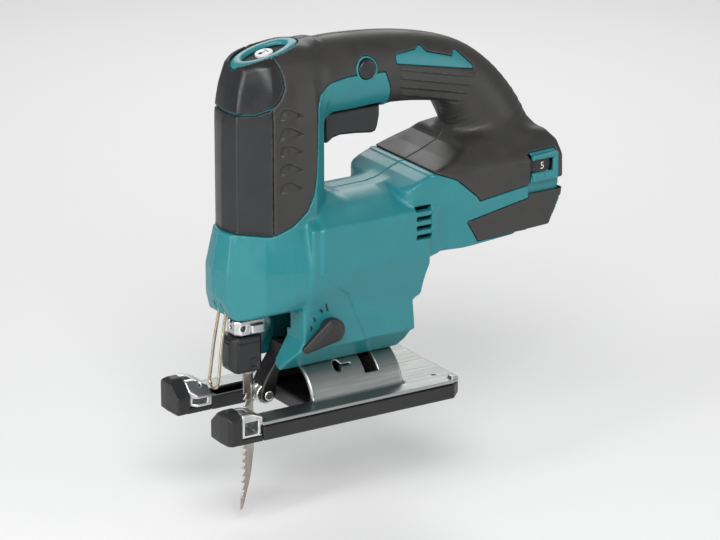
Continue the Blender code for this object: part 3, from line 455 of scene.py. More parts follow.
# Colour, paler edge colour (rubbing and painted highlight), roughness, grain size and depth, mottle, amount of
# edge rubbing and painted highlight
mouldings = {
    "tealPlastic": ((0.015, 0.198, 0.222), (0.09, 0.38, 0.40), 0.36, 2600.0, 0.25, 0.035, 0.3),
    "darkRubber": ((0.027, 0.026, 0.0245), (0.11, 0.105, 0.10), 0.46, 1900.0, 0.45, 0.08),
    "coverPlastic": ((0.010, 0.011, 0.012), (0.09, 0.09, 0.09), 0.34, 2400.0, 0.2, 0.06),
    "blackPlastic": ((0.010, 0.010, 0.011), (0.06, 0.06, 0.06), 0.46, 2200.0, 0.3),
    "whitePlastic": ((0.72, 0.73, 0.73), (0.6, 0.6, 0.6), 0.4, 3000.0, 0.08, 0.04),
}
# Colour, duller colour, roughness, how the hairlines are stretched, depth of the grain
metals = {
    "platedSteel": ((0.72, 0.72, 0.70), (0.60, 0.61, 0.60), 0.30),
    "plateTop": ((0.40, 0.41, 0.40), (0.31, 0.33, 0.32), 0.38, (25.0, 700.0, 700.0), 0.08),
    "bladeSteel": ((0.50, 0.47, 0.42), (0.38, 0.35, 0.31), 0.34, (900.0, 900.0, 45.0), 0.2),
    "darkSteel": ((0.07, 0.07, 0.07), (0.04, 0.04, 0.04), 0.38),
    "castAluminium": ((0.70, 0.71, 0.71), (0.55, 0.56, 0.56), 0.36, (500.0, 500.0, 500.0), 0.3),
    "copperWinding": ((0.55, 0.28, 0.12), (0.4, 0.2, 0.08), 0.35),
    "bronze": ((0.50, 0.36, 0.18), (0.35, 0.25, 0.12), 0.4),
    "guardWire": ((0.62, 0.54, 0.40), (0.45, 0.38, 0.28), 0.28, (900.0, 900.0, 60.0), 0.1),
}
finishes = {name: mouldedFinish(name, *values) for name, values in mouldings.items()}
finishes |= {name: metalFinish(name, *values) for name, values in metals.items()}
finishes["glossBlack"] = mouldedFinish(
    "glossBlack", (0.004, 0.004, 0.005), (0.03, 0.03, 0.03), 0.42, 3000.0, 0.02, Specular_IOR_Level=0.05,
)
print("finishes made:", len(finishes))


# The housing's outer shape. Outlines seen from above are "plan", from the side "side", from ahead "front"
housing = {
    "gap": 0.3,              # between mouldings
    "skinDepth": 1.5,        # of the soft and dark mouldings set in the shell
    "beadRise": 0.35,        # of the shell's lip round the dark mouldings
    "beadWidth": 0.75,       # half of it
    "panelRise": 1.3,        # of the raised panel on each side
    "panelSlope": 1.4,       # width of the slope round it
    "step": 0.75,            # grid of the shell's skin
    "gripStep": 0.56,
    "coverStep": 0.55,
    "insertStep": 0.45,
    "hiddenDepth": 1.2,      # points deeper than this aren't seen
    "shellShare": 0.58,      # of the triangles left once the hidden walls are thinned
    "gripShare": 0.8,
}

column = {
    "plan": mirroredOutline([(-57.5, 0), (-54, 11.5), (-39, 24.5), (-25, 27), (-12, 24.5), (-3, 17), (3, 7)]),
    "side": [
        (-57.5, 100), (5, 100), (5, 207), (-8, 205), (-15, 207), (-22, 208), (-30, 206.5), (-49, 199),
        (-53, 187), (-56.5, 168), (-57.5, 140),
    ],
    "front": mirroredOutline([(212, 0), (207, 10), (200, 18), (188, 24), (170, 28), (95, 28)]),
    "drawnIn": 6.5,          # at its top
    "drawnFrom": 170, "drawnOver": 34,
}
nose = {
    "plan": mirroredOutline([(-63.5, 0), (-60.5, 11.5), (-45, 26), (-30, 30), (-14, 33), (6, 33)]),
    "side": [
        (-63.5, 88), (-62.5, 74), (-57, 61), (6, 61), (6, 112), (-12, 114), (-26, 112), (-39, 108.6),
        (-59, 108.6), (-61, 104),
    ],
    "front": mirroredOutline([(110.5, 26.5), (104, 33), (78, 33), (66, 27), (60, 15)]),
    "flare": 4.5,            # how much wider it is at mid height than at its top
    "flareFrom": 88, "flareOver": 22,
}
barrel = {
    "front": mirroredOutline([(121.5, 8), (117.5, 17), (110, 33), (85, 33), (63, 27), (55, 20)]),
    "side": [(-20, 56), (50, 56), (52.5, 74), (54.5, 82), (60, 84.5), (60, 125), (-20, 125)],
}
leg = {
    "front": mirroredOutline([(75, 27), (41, 27), (28.2, 14.2), (25, 14.2)]),
    "side": [
        (-22, 80), (-22, 46), (-29, 34), (-31, 26), (-27, 22), (44, 22), (47.5, 34), (45.5, 60),
        (50, 61.5), (48.5, 80),
    ],
    "channel": (0, 4, 27.6),     # across, height and radius of the hollow over the base
}
rear = {
    "side": [
        (40, 86.5), (54, 84.2), (75, 84.4), (132, 88.5), (139.5, 105), (140.5, 112), (140, 135),
        (135.5, 140.5), (110, 146), (82, 140.5), (66, 134), (48, 126.5), (40, 121.5),
    ],
    "front": mirroredOutline([(150, 16), (140, 26), (128, 36), (80, 36)]),
    "plan": mirroredOutline([(36, 20), (44, 31.5), (66, 33), (80, 36), (145, 36)]),
}
handle = {
    "stations": np.array([       # along, up, radius
        (-22, 184, 22), (-8, 184.5, 21.5), (12, 185, 22), (42, 184, 20.8), (66, 180.5, 19.7),
        (84, 174, 19.6), (97, 163.5, 20.5), (106, 150, 23), (110, 137, 26.5), (111, 125, 27),
    ], float),
    "flatten": 0.84,         # its width over its height
}


# Points at equal angles on a circle, in degrees from its first axis.
def arc(centre, radius, start, end, steps):
    turn = np.radians(np.linspace(start, end, steps))
    return list(zip(centre[0] + radius * np.cos(turn), centre[1] + radius * np.sin(turn)))


openingOutline = (
    [(2.2, 161.5), (2.2, 142), (4, 133), (9, 122.6), (12, 121.3), (34, 121.8), (48, 127), (70, 133.5)]
    + arc((75, 143), 7, -50, 0, 5) + arc((72, 153.5), 8.5, 0, 70, 5) + [(45, 164), (40.5, 161.5)]
)


# Points between stations on a smooth curve through them: each span is a cubic whose slopes are those of
# the chords past its ends.
def smoothThrough(stations, steps):
    stations = np.asarray(stations, float)
    spread = np.concatenate([2 * stations[:1] - stations[1:2], stations, 2 * stations[-1:] - stations[-2:-1]])
    share = np.linspace(0, 1, steps, endpoint=False)[None, :, None]
    p0, p1, p2, p3 = (spread[i:len(spread) - 3 + i, None] for i in range(4))
    curve = 0.5 * (
        2 * p1 + (p2 - p0) * share + (2 * p0 - 5 * p1 + 4 * p2 - p3) * share ** 2
        + (3 * p1 - p0 - 3 * p2 + p3) * share ** 3
    )
    return np.concatenate([curve.reshape(-1, stations.shape[1]), stations[-1:]])


handlePath = smoothThrough(handle["stations"], 4)


# The handle: how far a point is from the curved middle line, its sideways part stretched, less the radius
# there. It is made a little smaller, because a stretched distance grows too fast.
def handleField(x, y, z):
    nearest = np.float32(1e9)
    radius = 0
    for (ax, az, ar), (bx, bz, br) in zip(handlePath[:-1], handlePath[1:]):
        dx, dz = bx - ax, bz - az
        share = np.clip(((x - ax) * dx + (z - az) * dz) / (dx * dx + dz * dz), 0, 1)
        away = (x - ax - share * dx) ** 2 + (z - az - share * dz) ** 2
        closer = away < nearest
        radius = np.where(closer, ar + share * (br - ar), radius)
        nearest = np.where(closer, away, nearest)
    return (np.sqrt(nearest + (y / handle["flatten"]) ** 2) - radius) * 0.92


# The column at the front: the largest of the distances to its three outlines, and the one from above is
# drawn in by the square of the height near the top.
def columnField(x, y, z):
    drawnIn = column["drawnIn"] * np.clip((z - column["drawnFrom"]) / column["drawnOver"], 0, 1) ** 2
    plan = softOutline(column["plan"], 1.5, x, y) + drawnIn
    side = softOutline(column["side"], 1.5, x, z)
    return smoothMax(smoothMax(plan, side, 3), softOutline(column["front"], 3, z, y), 4)


# The nose over the blade: the same, drawn in at an even slope above its middle.
def noseField(x, y, z):
    drawnIn = nose["flare"] * np.clip((z - nose["flareFrom"]) / nose["flareOver"], 0, 1)
    plan = softOutline(nose["plan"], 1.5, x, y) + drawnIn
    side = softOutline(nose["side"], 1.2, x, z)
    return smoothMax(smoothMax(plan, side, 2), softOutline(nose["front"], 1.5, z, y), 2)


# The barrel round the motor: the larger of the distances to its two outlines.
def barrelField(x, y, z):
    return smoothMax(softOutline(barrel["front"], 1.5, z, y), softOutline(barrel["side"], 1.5, x, z), 2)


# The leg on the base: the larger of the distances to its two outlines, less a round channel below.
def legField(x, y, z):
    body = smoothMax(softOutline(leg["front"], 1.2, z, y), softOutline(leg["side"], 1.2, x, z), 1.8)
    across, height, radius = leg["channel"]
    hollow = radius - np.sqrt((y - across) ** 2 + (z - height) ** 2)
    return smoothMax(body, hollow, 1.0)


# The battery end: the largest of the distances to its three outlines.
def rearField(x, y, z):
    side = softOutline(rear["side"], 2.5, x, z)
    body = smoothMax(side, softOutline(rear["front"], 3, z, y), 3.5)
    return smoothMax(body, softOutline(rear["plan"], 4, x, y), 3)


# The raised panel on each side
sidePanel = [
    (-4.4, 130), (-15.4, 109), (-15.5, 85), (4.2, 69), (16.9, 40.5), (60, 40.5), (60, 64),
    (54.5, 84), (56.5, 130),
]


# The whole outside: the smallest of the parts' distances, filleted where they meet, less the opening under
# the handle. Barrel and leg are thicker inside the side panel.
def outerField(x, y, z):
    body = smoothMin(columnField(x, y, z), handleField(x, y, z), 7)
    body = smoothMin(body, rearField(x, y, z), 6)
    inPanel = np.clip(-outlineDistance(sidePanel, x, z) / housing["panelSlope"], 0, 1)
    raised = inPanel * housing["panelRise"]
    foot = smoothMin(barrelField(x, y, z) - raised, noseField(x, y, z), 2.5)
    foot = smoothMin(foot, legField(x, y, z) - raised, 2)
    body = smoothMin(body, foot, 2.2)
    return smoothMax(body, -softOutline(openingOutline, 0.01, x, z), 4)


# Where the dark mouldings lie, seen from the side
regions = {
    "cover": [
        (-80, 109), (-60, 109), (-38.85, 108.4), (-38.85, 140), (-38.85, 178.2), (-46, 174.6), (-80, 172),
    ],
    "cap": [
        (-80, 173), (-46.2, 175.6), (-39.8, 178.8), (-34, 183), (-31, 189), (-31, 195), (-33, 202),
        (-36, 220), (-80, 220),
    ],
    "grip": [
        (-38.5, 108.6), (-28, 112.6), (-18.5, 119.5), (-14, 127.5), (-12, 139), (-10.7, 156), (-10, 174),
        (-7, 181), (0, 185.5), (12, 187.5), (35.5, 186.5), (39.5, 177), (41.5, 166), (41, 150), (46, 145),
        (44, 131.4), (59, 129), (71, 124.2), (83.8, 112.6), (85.4, 110), (116.8, 113.8), (118.4, 115.0),
        (118.5, 131.4), (135.8, 132.0), (136.4, 115.0), (150, 115.2),
        (150, 230), (-35.5, 230), (-32.4, 202), (-30.4, 195), (-30.4, 188.5), (-33.6, 182.6), (-38.5, 178.6),
    ],
    "insert": [
        (43, 189.5), (43.5, 194), (57, 194.5), (60.5, 196.4), (64, 192.2), (80.5, 187.3), (83.5, 190.5),
        (95.5, 178.4),
    ],
    "panel": [
        (77.3, 99.4), (84.3, 87.2), (131.2, 88.6), (137.3, 103.6), (150, 106), (150, 114.2), (118.6, 114.1),
        (117.3, 112.6), (117.5, 106.3),
    ],
}


# The right grip has no notch for the dial
notchCorners = {(116.8, 113.8), (118.4, 115.0), (118.5, 131.4), (135.8, 132.0), (136.4, 115.0)}
regions["gripRight"] = [point for point in regions["grip"] if point not in notchCorners]


# Distance to a moulding's outline seen from the side, its corners rounded.
def regionField(name, x, z):
    return softOutline(regions[name], 1.0, x, z)


socketMouth = (130, -30, 70), (160, 30, 128)      # where the battery goes in
lock = {
    "centre": (23.6, 189.6), "hole": 5.7, "gripHole": 7.0, "radius": 5.4, "halfLength": 18.8,
    "ring": 6.75, "ringRise": 0.25,      # teal ring round the button, above the outside
}
dial = {
    "centre": (125.0, -25.5), "radius": 10.75, "room": 11.5, "low": 120.3, "high": 127.7,
    "ribs": 36, "ribDepth": 0.45, "digitSize": 5.67, "digitStep": 54.0, "shown": 5,
}
hollows = [
    # drive, from the column down
    prismField(mirroredOutline([(-50.5, 8.5), (-47, 12), (-36.5, 20.8), (-11, 20.8)]), "z", 80.5, 160),
    prismField(mirroredOutline([(-56.4, 11.5), (-53, 14.5), (-30, 14.5), (-30, 20), (-17, 20)]), "z", 62, 81.5),
    prismField(mirroredOutline([(-56.4, 11.5), (-53, 12.5), (-17, 12.5)]), "z", 50, 63),
    boxField((-46.5, -8, 159), (-33.5, 8, 177)), boxField((-12, -11.5, 82), (-3, 11.5, 125)),
    barField("x", (0, 94), -4, 49.5, 22.5),
    # leg, blade clamp and roller arm
    boxField((-19, -13, 26), (8, 13, 66)), boxField((-40, -9, 10), (-16, 9, 60)),
    # trigger and its switch
    boxField((2.2, -10, 155), (38.2, 10, 171.5)), boxField((1, -9.5, 171), (40.5, 9.5, 184.2)),
    # electronics, motor's end, terminals, battery socket
    boxField((64, -25, 98), (121, 25, 119)), boxField((44, -29, 93), (58, 29, 113)),
    boxField((120.5, -15, 99), (131, 15, 125)),
    boxField((130, -30, 70), (136.4, 30, 128)), boxField((135, -26.5, 70), (160, 26.5, 128)),
    # bores of the lock button, orbital lever, arm pin, base screw and wire guard
    barField("y", lock["centre"], -40, 40, lock["hole"]), barField("y", (-7, 52), -40, -12, 4.3),
    barField("y", (-19, 36), -16, 16, 2.3), barField("z", (24, 0), 20, 44, 2.9),
    barField("z", (-58.7, -3.6), 58, 69, 1.25), barField("z", (-58.7, 3.6), 58, 69, 1.25),
    # speed dial
    barField("z", dial["centre"], 118, 130, dial["room"]),
    boxField((116.5, -40, 118), (135.5, -31, 130)), boxField((116.5, -26, 119), (133.5, -5, 129)),
]
vents = {"rows": 4, "first": 94.2, "pitch": 5.2, "height": 2.8, "ends": (45.0, 55.4)}
hollows += [
    boxField(
        (vents["ends"][0], side - 6, vents["first"] + row * vents["pitch"]),
        (vents["ends"][1], side + 6, vents["first"] + row * vents["pitch"] + vents["height"]), 0.5,
    )
    for row in range(vents["rows"]) for side in (-34, 34)
]
screwPlaces = [(-18, 170, 12), (60, 90, 18), (22, 56, 18), (96, 160, 12)]      # along, up, seat
ringSeat = {"centre": (-30, 203), "lean": np.radians(13.5), "length": 20.3, "width": 12.8, "depth": 7.5}


# Where a point lies in the sloping top: along the slope, and how far above it.
def inSlope(x, z):
    dx, dz = x - ringSeat["centre"][0], z - ringSeat["centre"][1]
    across, rise = np.cos(ringSeat["lean"]), np.sin(ringSeat["lean"])
    return dx * across + dz * rise, dz * across - dx * rise


# An upright oval in the sloping top: the distance to an ellipse, turned to lie in the slope.
def ovalField(length, width, low, high, x, y, z):
    along, up = inSlope(x, z)
    size = np.sqrt((along / length) ** 2 + (y / width) ** 2)
    side = (size - 1) * width * (1 + 0.35 * (length / width - 1))
    return side, np.maximum(low - up, up - high), up


# The hole that the top ring sits in: the larger of the distances to its oval and past its floor.
def seatField(x, y, z):
    across, within, _ = ovalField(ringSeat["length"], ringSeat["width"], -ringSeat["depth"], 40, x, y, z)
    return np.maximum(across, within)


# Screw holes through a side moulding, and on the right the wider seats of the heads.
def drilled(body, side, x, y, z):
    for px, pz, seat in screwPlaces:
        body = cutAway(body, barField("y", (px, pz), -9, 50, 1.8), x, y, z)
        if side > 0:
            body = cutAway(body, barField("y", (px, pz), seat, 50, 3.6), x, y, z)
    return body


# Half of the shell: the outside raised by a bead near the dark mouldings, less a bed for each of them, less
# the hollows and the screw holes, and cut at the middle plane. The bead fades evenly away from its crest.
def shellField(side):
    gap, depth = housing["gap"], housing["skinDepth"]
    names = ("cover", "cap", "gripRight" if side > 0 else "grip", "panel")

    def field(x, y, z):
        outer = outerField(x, y, z)
        borders = [regionField(name, x, z) for name in names]
        rim = np.minimum(np.minimum(borders[0], borders[1]), borders[2])
        bead = np.clip(1 - np.abs(rim - gap - 0.55) / housing["beadWidth"], 0, 1) * housing["beadRise"]
        body = smoothMax(outer - bead, -seatField(x, y, z), 0.6)
        for border in borders:
            body = smoothMax(body, -np.maximum(border - gap, -(outer + depth + gap)), 0.8)
        for hollow in hollows:
            body = cutAway(body, hollow, x, y, z)
        return smoothMax(drilled(body, side, x, y, z), gap / 2 - side * y, 0.5)

    return field


# The box of a moulding on one side, from its lowest and highest places along and up.
def sideBox(side, low, high):
    ends = sorted((side * housing["gap"] / 2, side * 36.2))
    return (low[0], ends[0], low[1]), (high[0], ends[1], high[1])


# Hidden walls are thinned: points deeper in the body than a given depth may be merged, until only the given
# share of the piece's triangles is left.
def thinHidden(obj, depth, share):
    points = np.empty(len(obj.data.vertices) * 3, np.float32)
    obj.data.vertices.foreach_get("co", points)
    deep = np.flatnonzero(outerField(*(points.reshape(-1, 3).T / mm)) < -depth)
    obj.vertex_groups.new(name="hidden").add(deep.tolist(), 1.0, "REPLACE")
    thinner = obj.modifiers.new("thinner", "DECIMATE")
    thinner.ratio, thinner.vertex_group = share, "hidden"


for label, side in (("left", -1), ("right", 1)):
    shell = moulded(
        label + "_shell", shellField(side), *sideBox(side, (-64, 22), (141, 209)), housing["step"],
        "housing", "teal_plastic", finishes["tealPlastic"], label + "_housing",
    )
    thinHidden(shell, housing["hiddenDepth"], housing["shellShare"])


# Soft and dark mouldings on the housing
grip = {
    "lip": 1.0,              # rounding at its border
    "reliefFrom": 5,         # how far out from the middle plane the relief starts
    "archTops": (177.4, 167.5, 157.7, 147.6, 137.4),
    "archDepth": 1.45,
    "archReach": 4.1,        # how far below its arch a scoop fades out
    "ribRise": 1.0,
    "ribPitch": 4.95,
}
archPath = [
    (-35.4, -6.0), (-35.0, -3.2), (-33.9, -1.2), (-32.2, 0), (-30.2, 0.2), (-28.3, -0.3), (-21.0, -4.6),
]
ribPad = [(43.4, 190.2), (96.2, 178.0), (84.4, 159.2), (50.0, 166.0), (45.0, 176.5)]


# How deep the grip is cut: under each arch a scoop that fades with the distance from the arch, and on the
# thumb's pad rows that rise along a slanted, slightly bowed line and fall back, like laps.
def gripRelief(x, z):
    scoop = 0
    for top in grip["archTops"]:
        path = [(a, b + top) for a, b in archPath]
        fade = 1 - pathDistance(path, x, z) / grip["archReach"]
        inside = np.clip(0.35 - outlineDistance(path, x, z) / 0.8, 0, 1)
        scoop = scoop + np.clip(fade, 0, 1) * inside * grip["archDepth"]
    rows = (189.4 - 0.233 * (x - 45) + 0.0006 * (x - 70) ** 2 - z) / grip["ribPitch"] + 0.12
    part = rows - np.floor(rows)
    lap = np.where(part < 0.8, part / 0.8, (1 - part) / 0.2)
    pad = np.clip(-outlineDistance(ribPad, x, z), 0, 1)
    return scoop - pad * (lap - 0.35) * grip["ribRise"]


# A soft grip: the outside lowered by the relief inside the grip's outline, as deep as the skin, less the
# ring's seat, the dial's room, the insert, the lock button's hole and the screw holes.
def gripField(side):
    gap, depth = housing["gap"], housing["skinDepth"]
    border = "gripRight" if side > 0 else "grip"
    notch = boxField((118.4, -45, 115), (136, -30.5, 131.6), 0.3)
    dialRoom = barField("z", dial["centre"], 118, 131, dial["room"])
    lockHole = barField("y", lock["centre"], -40, 40, lock["gripHole"])

    def field(x, y, z):
        outer = outerField(x, y, z)
        relief = np.where(np.abs(y) > grip["reliefFrom"], gripRelief(x, z), 0)
        body = smoothMax(outer + relief, regionField(border, x, z), grip["lip"])
        body = smoothMax(body, -(outer + depth + np.maximum(relief, 0)), 0.4)
        body = smoothMax(body, -seatField(x, y, z), 0.6)
        if side < 0:
            body = cutAway(body, notch, x, y, z)
            body = cutAway(body, dialRoom, x, y, z)
        body = smoothMax(body, gap - regionField("insert", x, z), 0.7)
        body = cutAway(body, lockHole, x, y, z)
        return smoothMax(drilled(body, side, x, y, z), gap / 2 - side * y, 0.5)

    return field


# A thin moulding that follows the housing inside one outline: the largest of the distances to the outside,
# to the outline and under the skin's depth, with a rounded border.
def skinField(region, lip=0.9, side=0):
    gap, depth = housing["gap"], housing["skinDepth"]

    def field(x, y, z):
        outer = outerField(x, y, z)
        body = smoothMax(outer, regionField(region, x, z), lip)
        body = smoothMax(body, -(outer + depth), 0.4)
        body = smoothMax(body, -seatField(x, y, z), 0.5)
        if side < 0 and region == "panel":
            body = cutAway(body, boxField(*socketMouth), x, y, z)
        if side:
            body = smoothMax(body, gap / 2 - side * y, 0.4)
        return body

    return field


for label, side in (("left", -1), ("right", 1)):
    softGrip = moulded(
        label + "_soft_grip", gripField(side), *sideBox(side, (-39.5, 108), (141, 209)), housing["gripStep"],
        "housing", "dark_rubber", finishes["darkRubber"], label + "_grip",
    )
    thinHidden(softGrip, housing["hiddenDepth"], housing["gripShare"])
    moulded(
        label + "_panel", skinField("panel", 0.9, side), *sideBox(side, (77, 84), (141, 108)),
        housing["coverStep"], "housing", "black_plastic", finishes["darkRubber"], label + "_rear_panel",
    )
    moulded(
        label + "_insert", skinField("insert", 0.7, side), *sideBox(side, (43, 177), (96, 198)),
        housing["insertStep"], "housing", "teal_plastic", finishes["tealPlastic"], label + "_handle_insert",
    )
moulded(
    "column_cover", skinField("cover"), (-58.5, -28, 108), (-38.5, 28, 178), housing["coverStep"],
    "housing", "black_plastic", finishes["coverPlastic"], "front_cover",
)
moulded(
    "column_cap", skinField("cap"), (-57, -27, 173), (-30, 27, 206), housing["coverStep"],
    "housing", "black_plastic", finishes["coverPlastic"], "top_cap",
)
print("housing and its mouldings made")


# The smaller pieces are made of tools, and a tool is a field with the box it lies in
# Tools made one: the smallest of their distances, with a fillet where they meet.
def joined(*tools, fillet=0.4):
    def field(x, y, z):
        body = tools[0][0](x, y, z)
        for tool in tools[1:]:
            body = smoothMin(body, tool[0](x, y, z), fillet)
        return body

    return field, np.min([tool[1] for tool in tools], 0), np.max([tool[2] for tool in tools], 0)


# A tool less others: the larger of its distance and of each other's turned round, with soft edges.
def without(body, *tools, edge=0.3):
    def field(x, y, z):
        left = body[0](x, y, z)
        for tool in tools:
            left = smoothMax(left, -tool[0](x, y, z), edge)
        return left

    return field, body[1], body[2]


# The part of a tool behind a plane: the larger of its distance and of the height over the plane.
def behindPlane(body, point, normal, edge=0.8):
    unit = np.array(normal, float) / np.linalg.norm(normal)

    def field(x, y, z):
        ahead = (x - point[0]) * unit[0] + (y - point[1]) * unit[1] + (z - point[2]) * unit[2]
        return smoothMax(body[0](x, y, z), ahead, edge)

    return field, body[1], body[2]


# The same tool on the other side of the middle plane: its field with y turned round.
def mirroredTool(tool):
    low, high = np.array(tool[1], float), np.array(tool[2], float)
    low[1], high[1] = -tool[2][1], -tool[1][1]
    return (lambda x, y, z: tool[0](x, -y, z)), low, high


# A moulded piece made of a tool, with its finish given by name.
def piece(name, tool, step, body, slot, finish, *nodes):
    return moulded(name, *tool, step, body, slot, finishes[finish], *nodes)


# Top ring, display and mode button
display = {"ringRise": 1.0, "bowl": 1.2, "panelTop": -0.9, "buttonTop": 0.05}


# An oval disc in the slope of the top: the larger of the distances to its oval and past its faces.
def ovalTool(length, width, low, high, rim=0.8):
    def field(x, y, z):
        side, within, _ = ovalField(length, width, low, high, x, y, z)
        return smoothMax(side, within, rim)

    centre = np.array([ringSeat["centre"][0], 0, ringSeat["centre"][1]])
    reach = np.array([length + 1, width + 1, 14])
    return field, centre - reach, centre + reach


# The ring: an oval disc whose top falls by a square towards its border, less an oval hole that widens
# evenly with the height.
def ringField(x, y, z):
    outer, within, up = ovalField(20.0, 12.5, -7.2, display["ringRise"], x, y, z)
    inner, _, _ = ovalField(12.2, 6.6, -20, 20, x, y, z)
    bowl = np.clip((up + 2.4) / 3.4, 0, 1) * display["bowl"]
    crown = within + 0.9 * np.clip((outer + 3.0) / 3.0, 0, 1) ** 2
    return smoothMax(smoothMax(outer, crown, 1.6), bowl - inner, 1.2)


ringTool = (ringField, (-49.6, -12.6, 191), (-9, 12.6, 209))
piece("control_ring", ringTool, 0.42, "housing", "teal_plastic", "tealPlastic", "top_ring")
panelTool = ovalTool(13.0, 7.2, -6.0, display["panelTop"], 0.3)
panelTool = without(panelTool, ovalTool(5.3, 5.3, -3.5, 20, 0.1), edge=0.2)
piece("control_panel", panelTool, 0.42, "housing", "gloss_black", "glossBlack", "display_panel")
keyTool = ovalTool(5.0, 5.0, -2.6, display["buttonTop"], 0.6)
piece("mode_key", keyTool, 0.3, "mode_button", "white_plastic", "whitePlastic", "mode_button")


# Small marks on the key: the nearest of some round spots, kept close to the key's own slope.
def keyMarks():
    spots = [(-1.9, 0.0, 1.25), (1.9, -1.5, 0.5), (1.9, 0.0, 0.5), (1.9, 1.5, 0.5), (0.2, 0.0, 0.55)]

    def field(x, y, z):
        along, up = inSlope(x, z)
        near = np.float32(99)
        for a, b, radius in spots:
            near = np.minimum(near, np.sqrt((along - a) ** 2 + (y - b) ** 2) - radius)
        return np.maximum(near, np.abs(up - display["buttonTop"]) - 0.12)

    return field, (-34, -3, 201.5), (-26, 3, 204.5)


piece("key_marks", keyMarks(), 0.16, "mode_button", "gloss_black", "glossBlack")

# Trigger, lock button and its rings
trigger = {
    "outline": [
        (2.7, 166.3), (2.7, 149.3), (4.6, 149.0), (8.0, 151.3), (12.5, 152.2), (22, 151.6), (32.3, 150.3),
        (35.0, 151.0), (36.3, 154), (37.5, 160), (37.5, 166.3),
    ],
    "halfWidth": 9.3, "corner": 0.9, "rim": 3.0, "springBore": 3.4,
}
triggerTool = blockField(
    trigger["outline"], "y", -trigger["halfWidth"], trigger["halfWidth"], trigger["corner"], trigger["rim"],
)
triggerTool = without(triggerTool, barField("z", (20, 0), 156, 170, trigger["springBore"]))
piece("trigger_key", triggerTool, 0.5, "trigger", "black_plastic", "coverPlastic", "trigger")
lockOutline = arc(lock["centre"], lock["radius"], 0, 345, 24)
lockTool = blockField(lockOutline, "y", -lock["halfLength"], lock["halfLength"], 1.0, 1.6)
piece("lock_key", lockTool, 0.4, "lock_button", "black_plastic", "coverPlastic", "lock_button")


# A tool cut off a little above the outside: the larger of the two distances.
def trimmed(tool, rise, edge):
    return (lambda x, y, z: smoothMax(tool[0](x, y, z), outerField(x, y, z) - rise, edge)), *tool[1:]


for label, side in (("left", -1), ("right", 1)):
    lip = barField("y", lock["centre"], *sorted((side * 14.0, side * 22.0)), lock["ring"])
    lip = without(lip, barField("y", lock["centre"], -40, 40, lock["hole"]), edge=0.5)
    lip = trimmed(lip, lock["ringRise"], 0.5)
    piece(label + "_lock_ring", lip, 0.3, "housing", "teal_plastic", "tealPlastic")


# Speed dial and its frame
# The drum: a rounded disc less a cosine of the angle for its ribs, flat near each number, on a thin stub.
def dialField(x, y, z):
    dx, dy = x - dial["centre"][0], y - dial["centre"][1]
    out = np.sqrt(dx * dx + dy * dy)
    turn = np.arctan2(dy, dx)
    half = dial["digitStep"] / 2
    fromDigit = np.abs(np.mod(np.degrees(turn) + 90 + half, dial["digitStep"]) - half)
    smooth = np.clip(fromDigit / 9 - 0.6, 0, 1)
    ribs = (0.5 + 0.5 * np.cos(dial["ribs"] * turn)) * dial["ribDepth"] * smooth
    drum = smoothMax(out - dial["radius"] + ribs, np.maximum(dial["low"] - z, z - dial["high"]), 0.8)
    stub = np.maximum(out - 2.0, np.maximum(116.4 - z, z - 131.6))
    return smoothMin(drum, stub, 0.3)


dialTool = (dialField, (114, -36.5, 116), (136, -14.5, 132))
piece("dial_drum", dialTool, 0.3, "speed_dial", "black_plastic", "blackPlastic", "speed_dial")


# Numbers round the drum: flat figures bent on to it, the angle is their width over the radius.
def dialNumbers():
    points, faces = [], []
    radius = dial["radius"] + 0.06
    for number in range(1, 7):
        curve = bpy.data.curves.new("digit", "FONT")
        curve.body, curve.size, curve.align_x, curve.align_y = str(number), 1.0, "CENTER", "CENTER"
        curve.resolution_u = 4
        holder = bpy.data.objects.new("digit", curve)
        mesh = holder.to_mesh()
        flat = np.empty(len(mesh.vertices) * 3)
        mesh.vertices.foreach_get("co", flat)
        flat = flat.reshape(-1, 3) * dial["digitSize"]
        start = sum(len(part) for part in points)
        faces += [tuple(start + i for i in polygon.vertices) for polygon in mesh.polygons]
        turn = np.radians(-90 - (number - dial["shown"]) * dial["digitStep"]) + flat[:, 0] / radius
        points.append(np.stack([
            dial["centre"][0] + radius * np.cos(turn), dial["centre"][1] + radius * np.sin(turn),
            (dial["low"] + dial["high"]) / 2 + flat[:, 1],
        ], 1))
        holder.to_mesh_clear()
        bpy.data.objects.remove(holder)
        bpy.data.curves.remove(curve)
    return place("dial_numbers", newMesh("dial_numbers", np.concatenate(points), faces), "speed_dial",
                 "white_plastic", finishes["whitePlastic"])


dialNumbers()
frameOutline = [(118.9, 130.4), (119.0, 115.6), (135.6, 115.6), (135.4, 130.8)]
frameTool = blockField(frameOutline, "y", -37.1, -34.2, 0.8, 0.7)
frameTool = without(frameTool, boxField((120.0, -45, 120.6), (132.3, -20, 127.4), 0.3), edge=2.2)
pointer = prismField([(125.9, 119.6), (126.5, 119.9), (127.6, 117.4), (127.0, 117.1)], "y", -38, -36.6)
frameTool = without(frameTool, pointer)
piece("dial_frame", frameTool, 0.3, "housing", "teal_plastic", "tealPlastic", "dial_bezel")

# Orbital lever, its marks and hub
orbit = {
    "pivot": (-7.0, 52.0), "tip": (-22.6, 43.9), "wide": 6.9, "narrow": 2.5, "front": -35.5, "back": -29.6,
    "fall": 1.6,             # of the crest from the hub to the tip
    "flank": 0.55,           # slope of the crest's sides
}


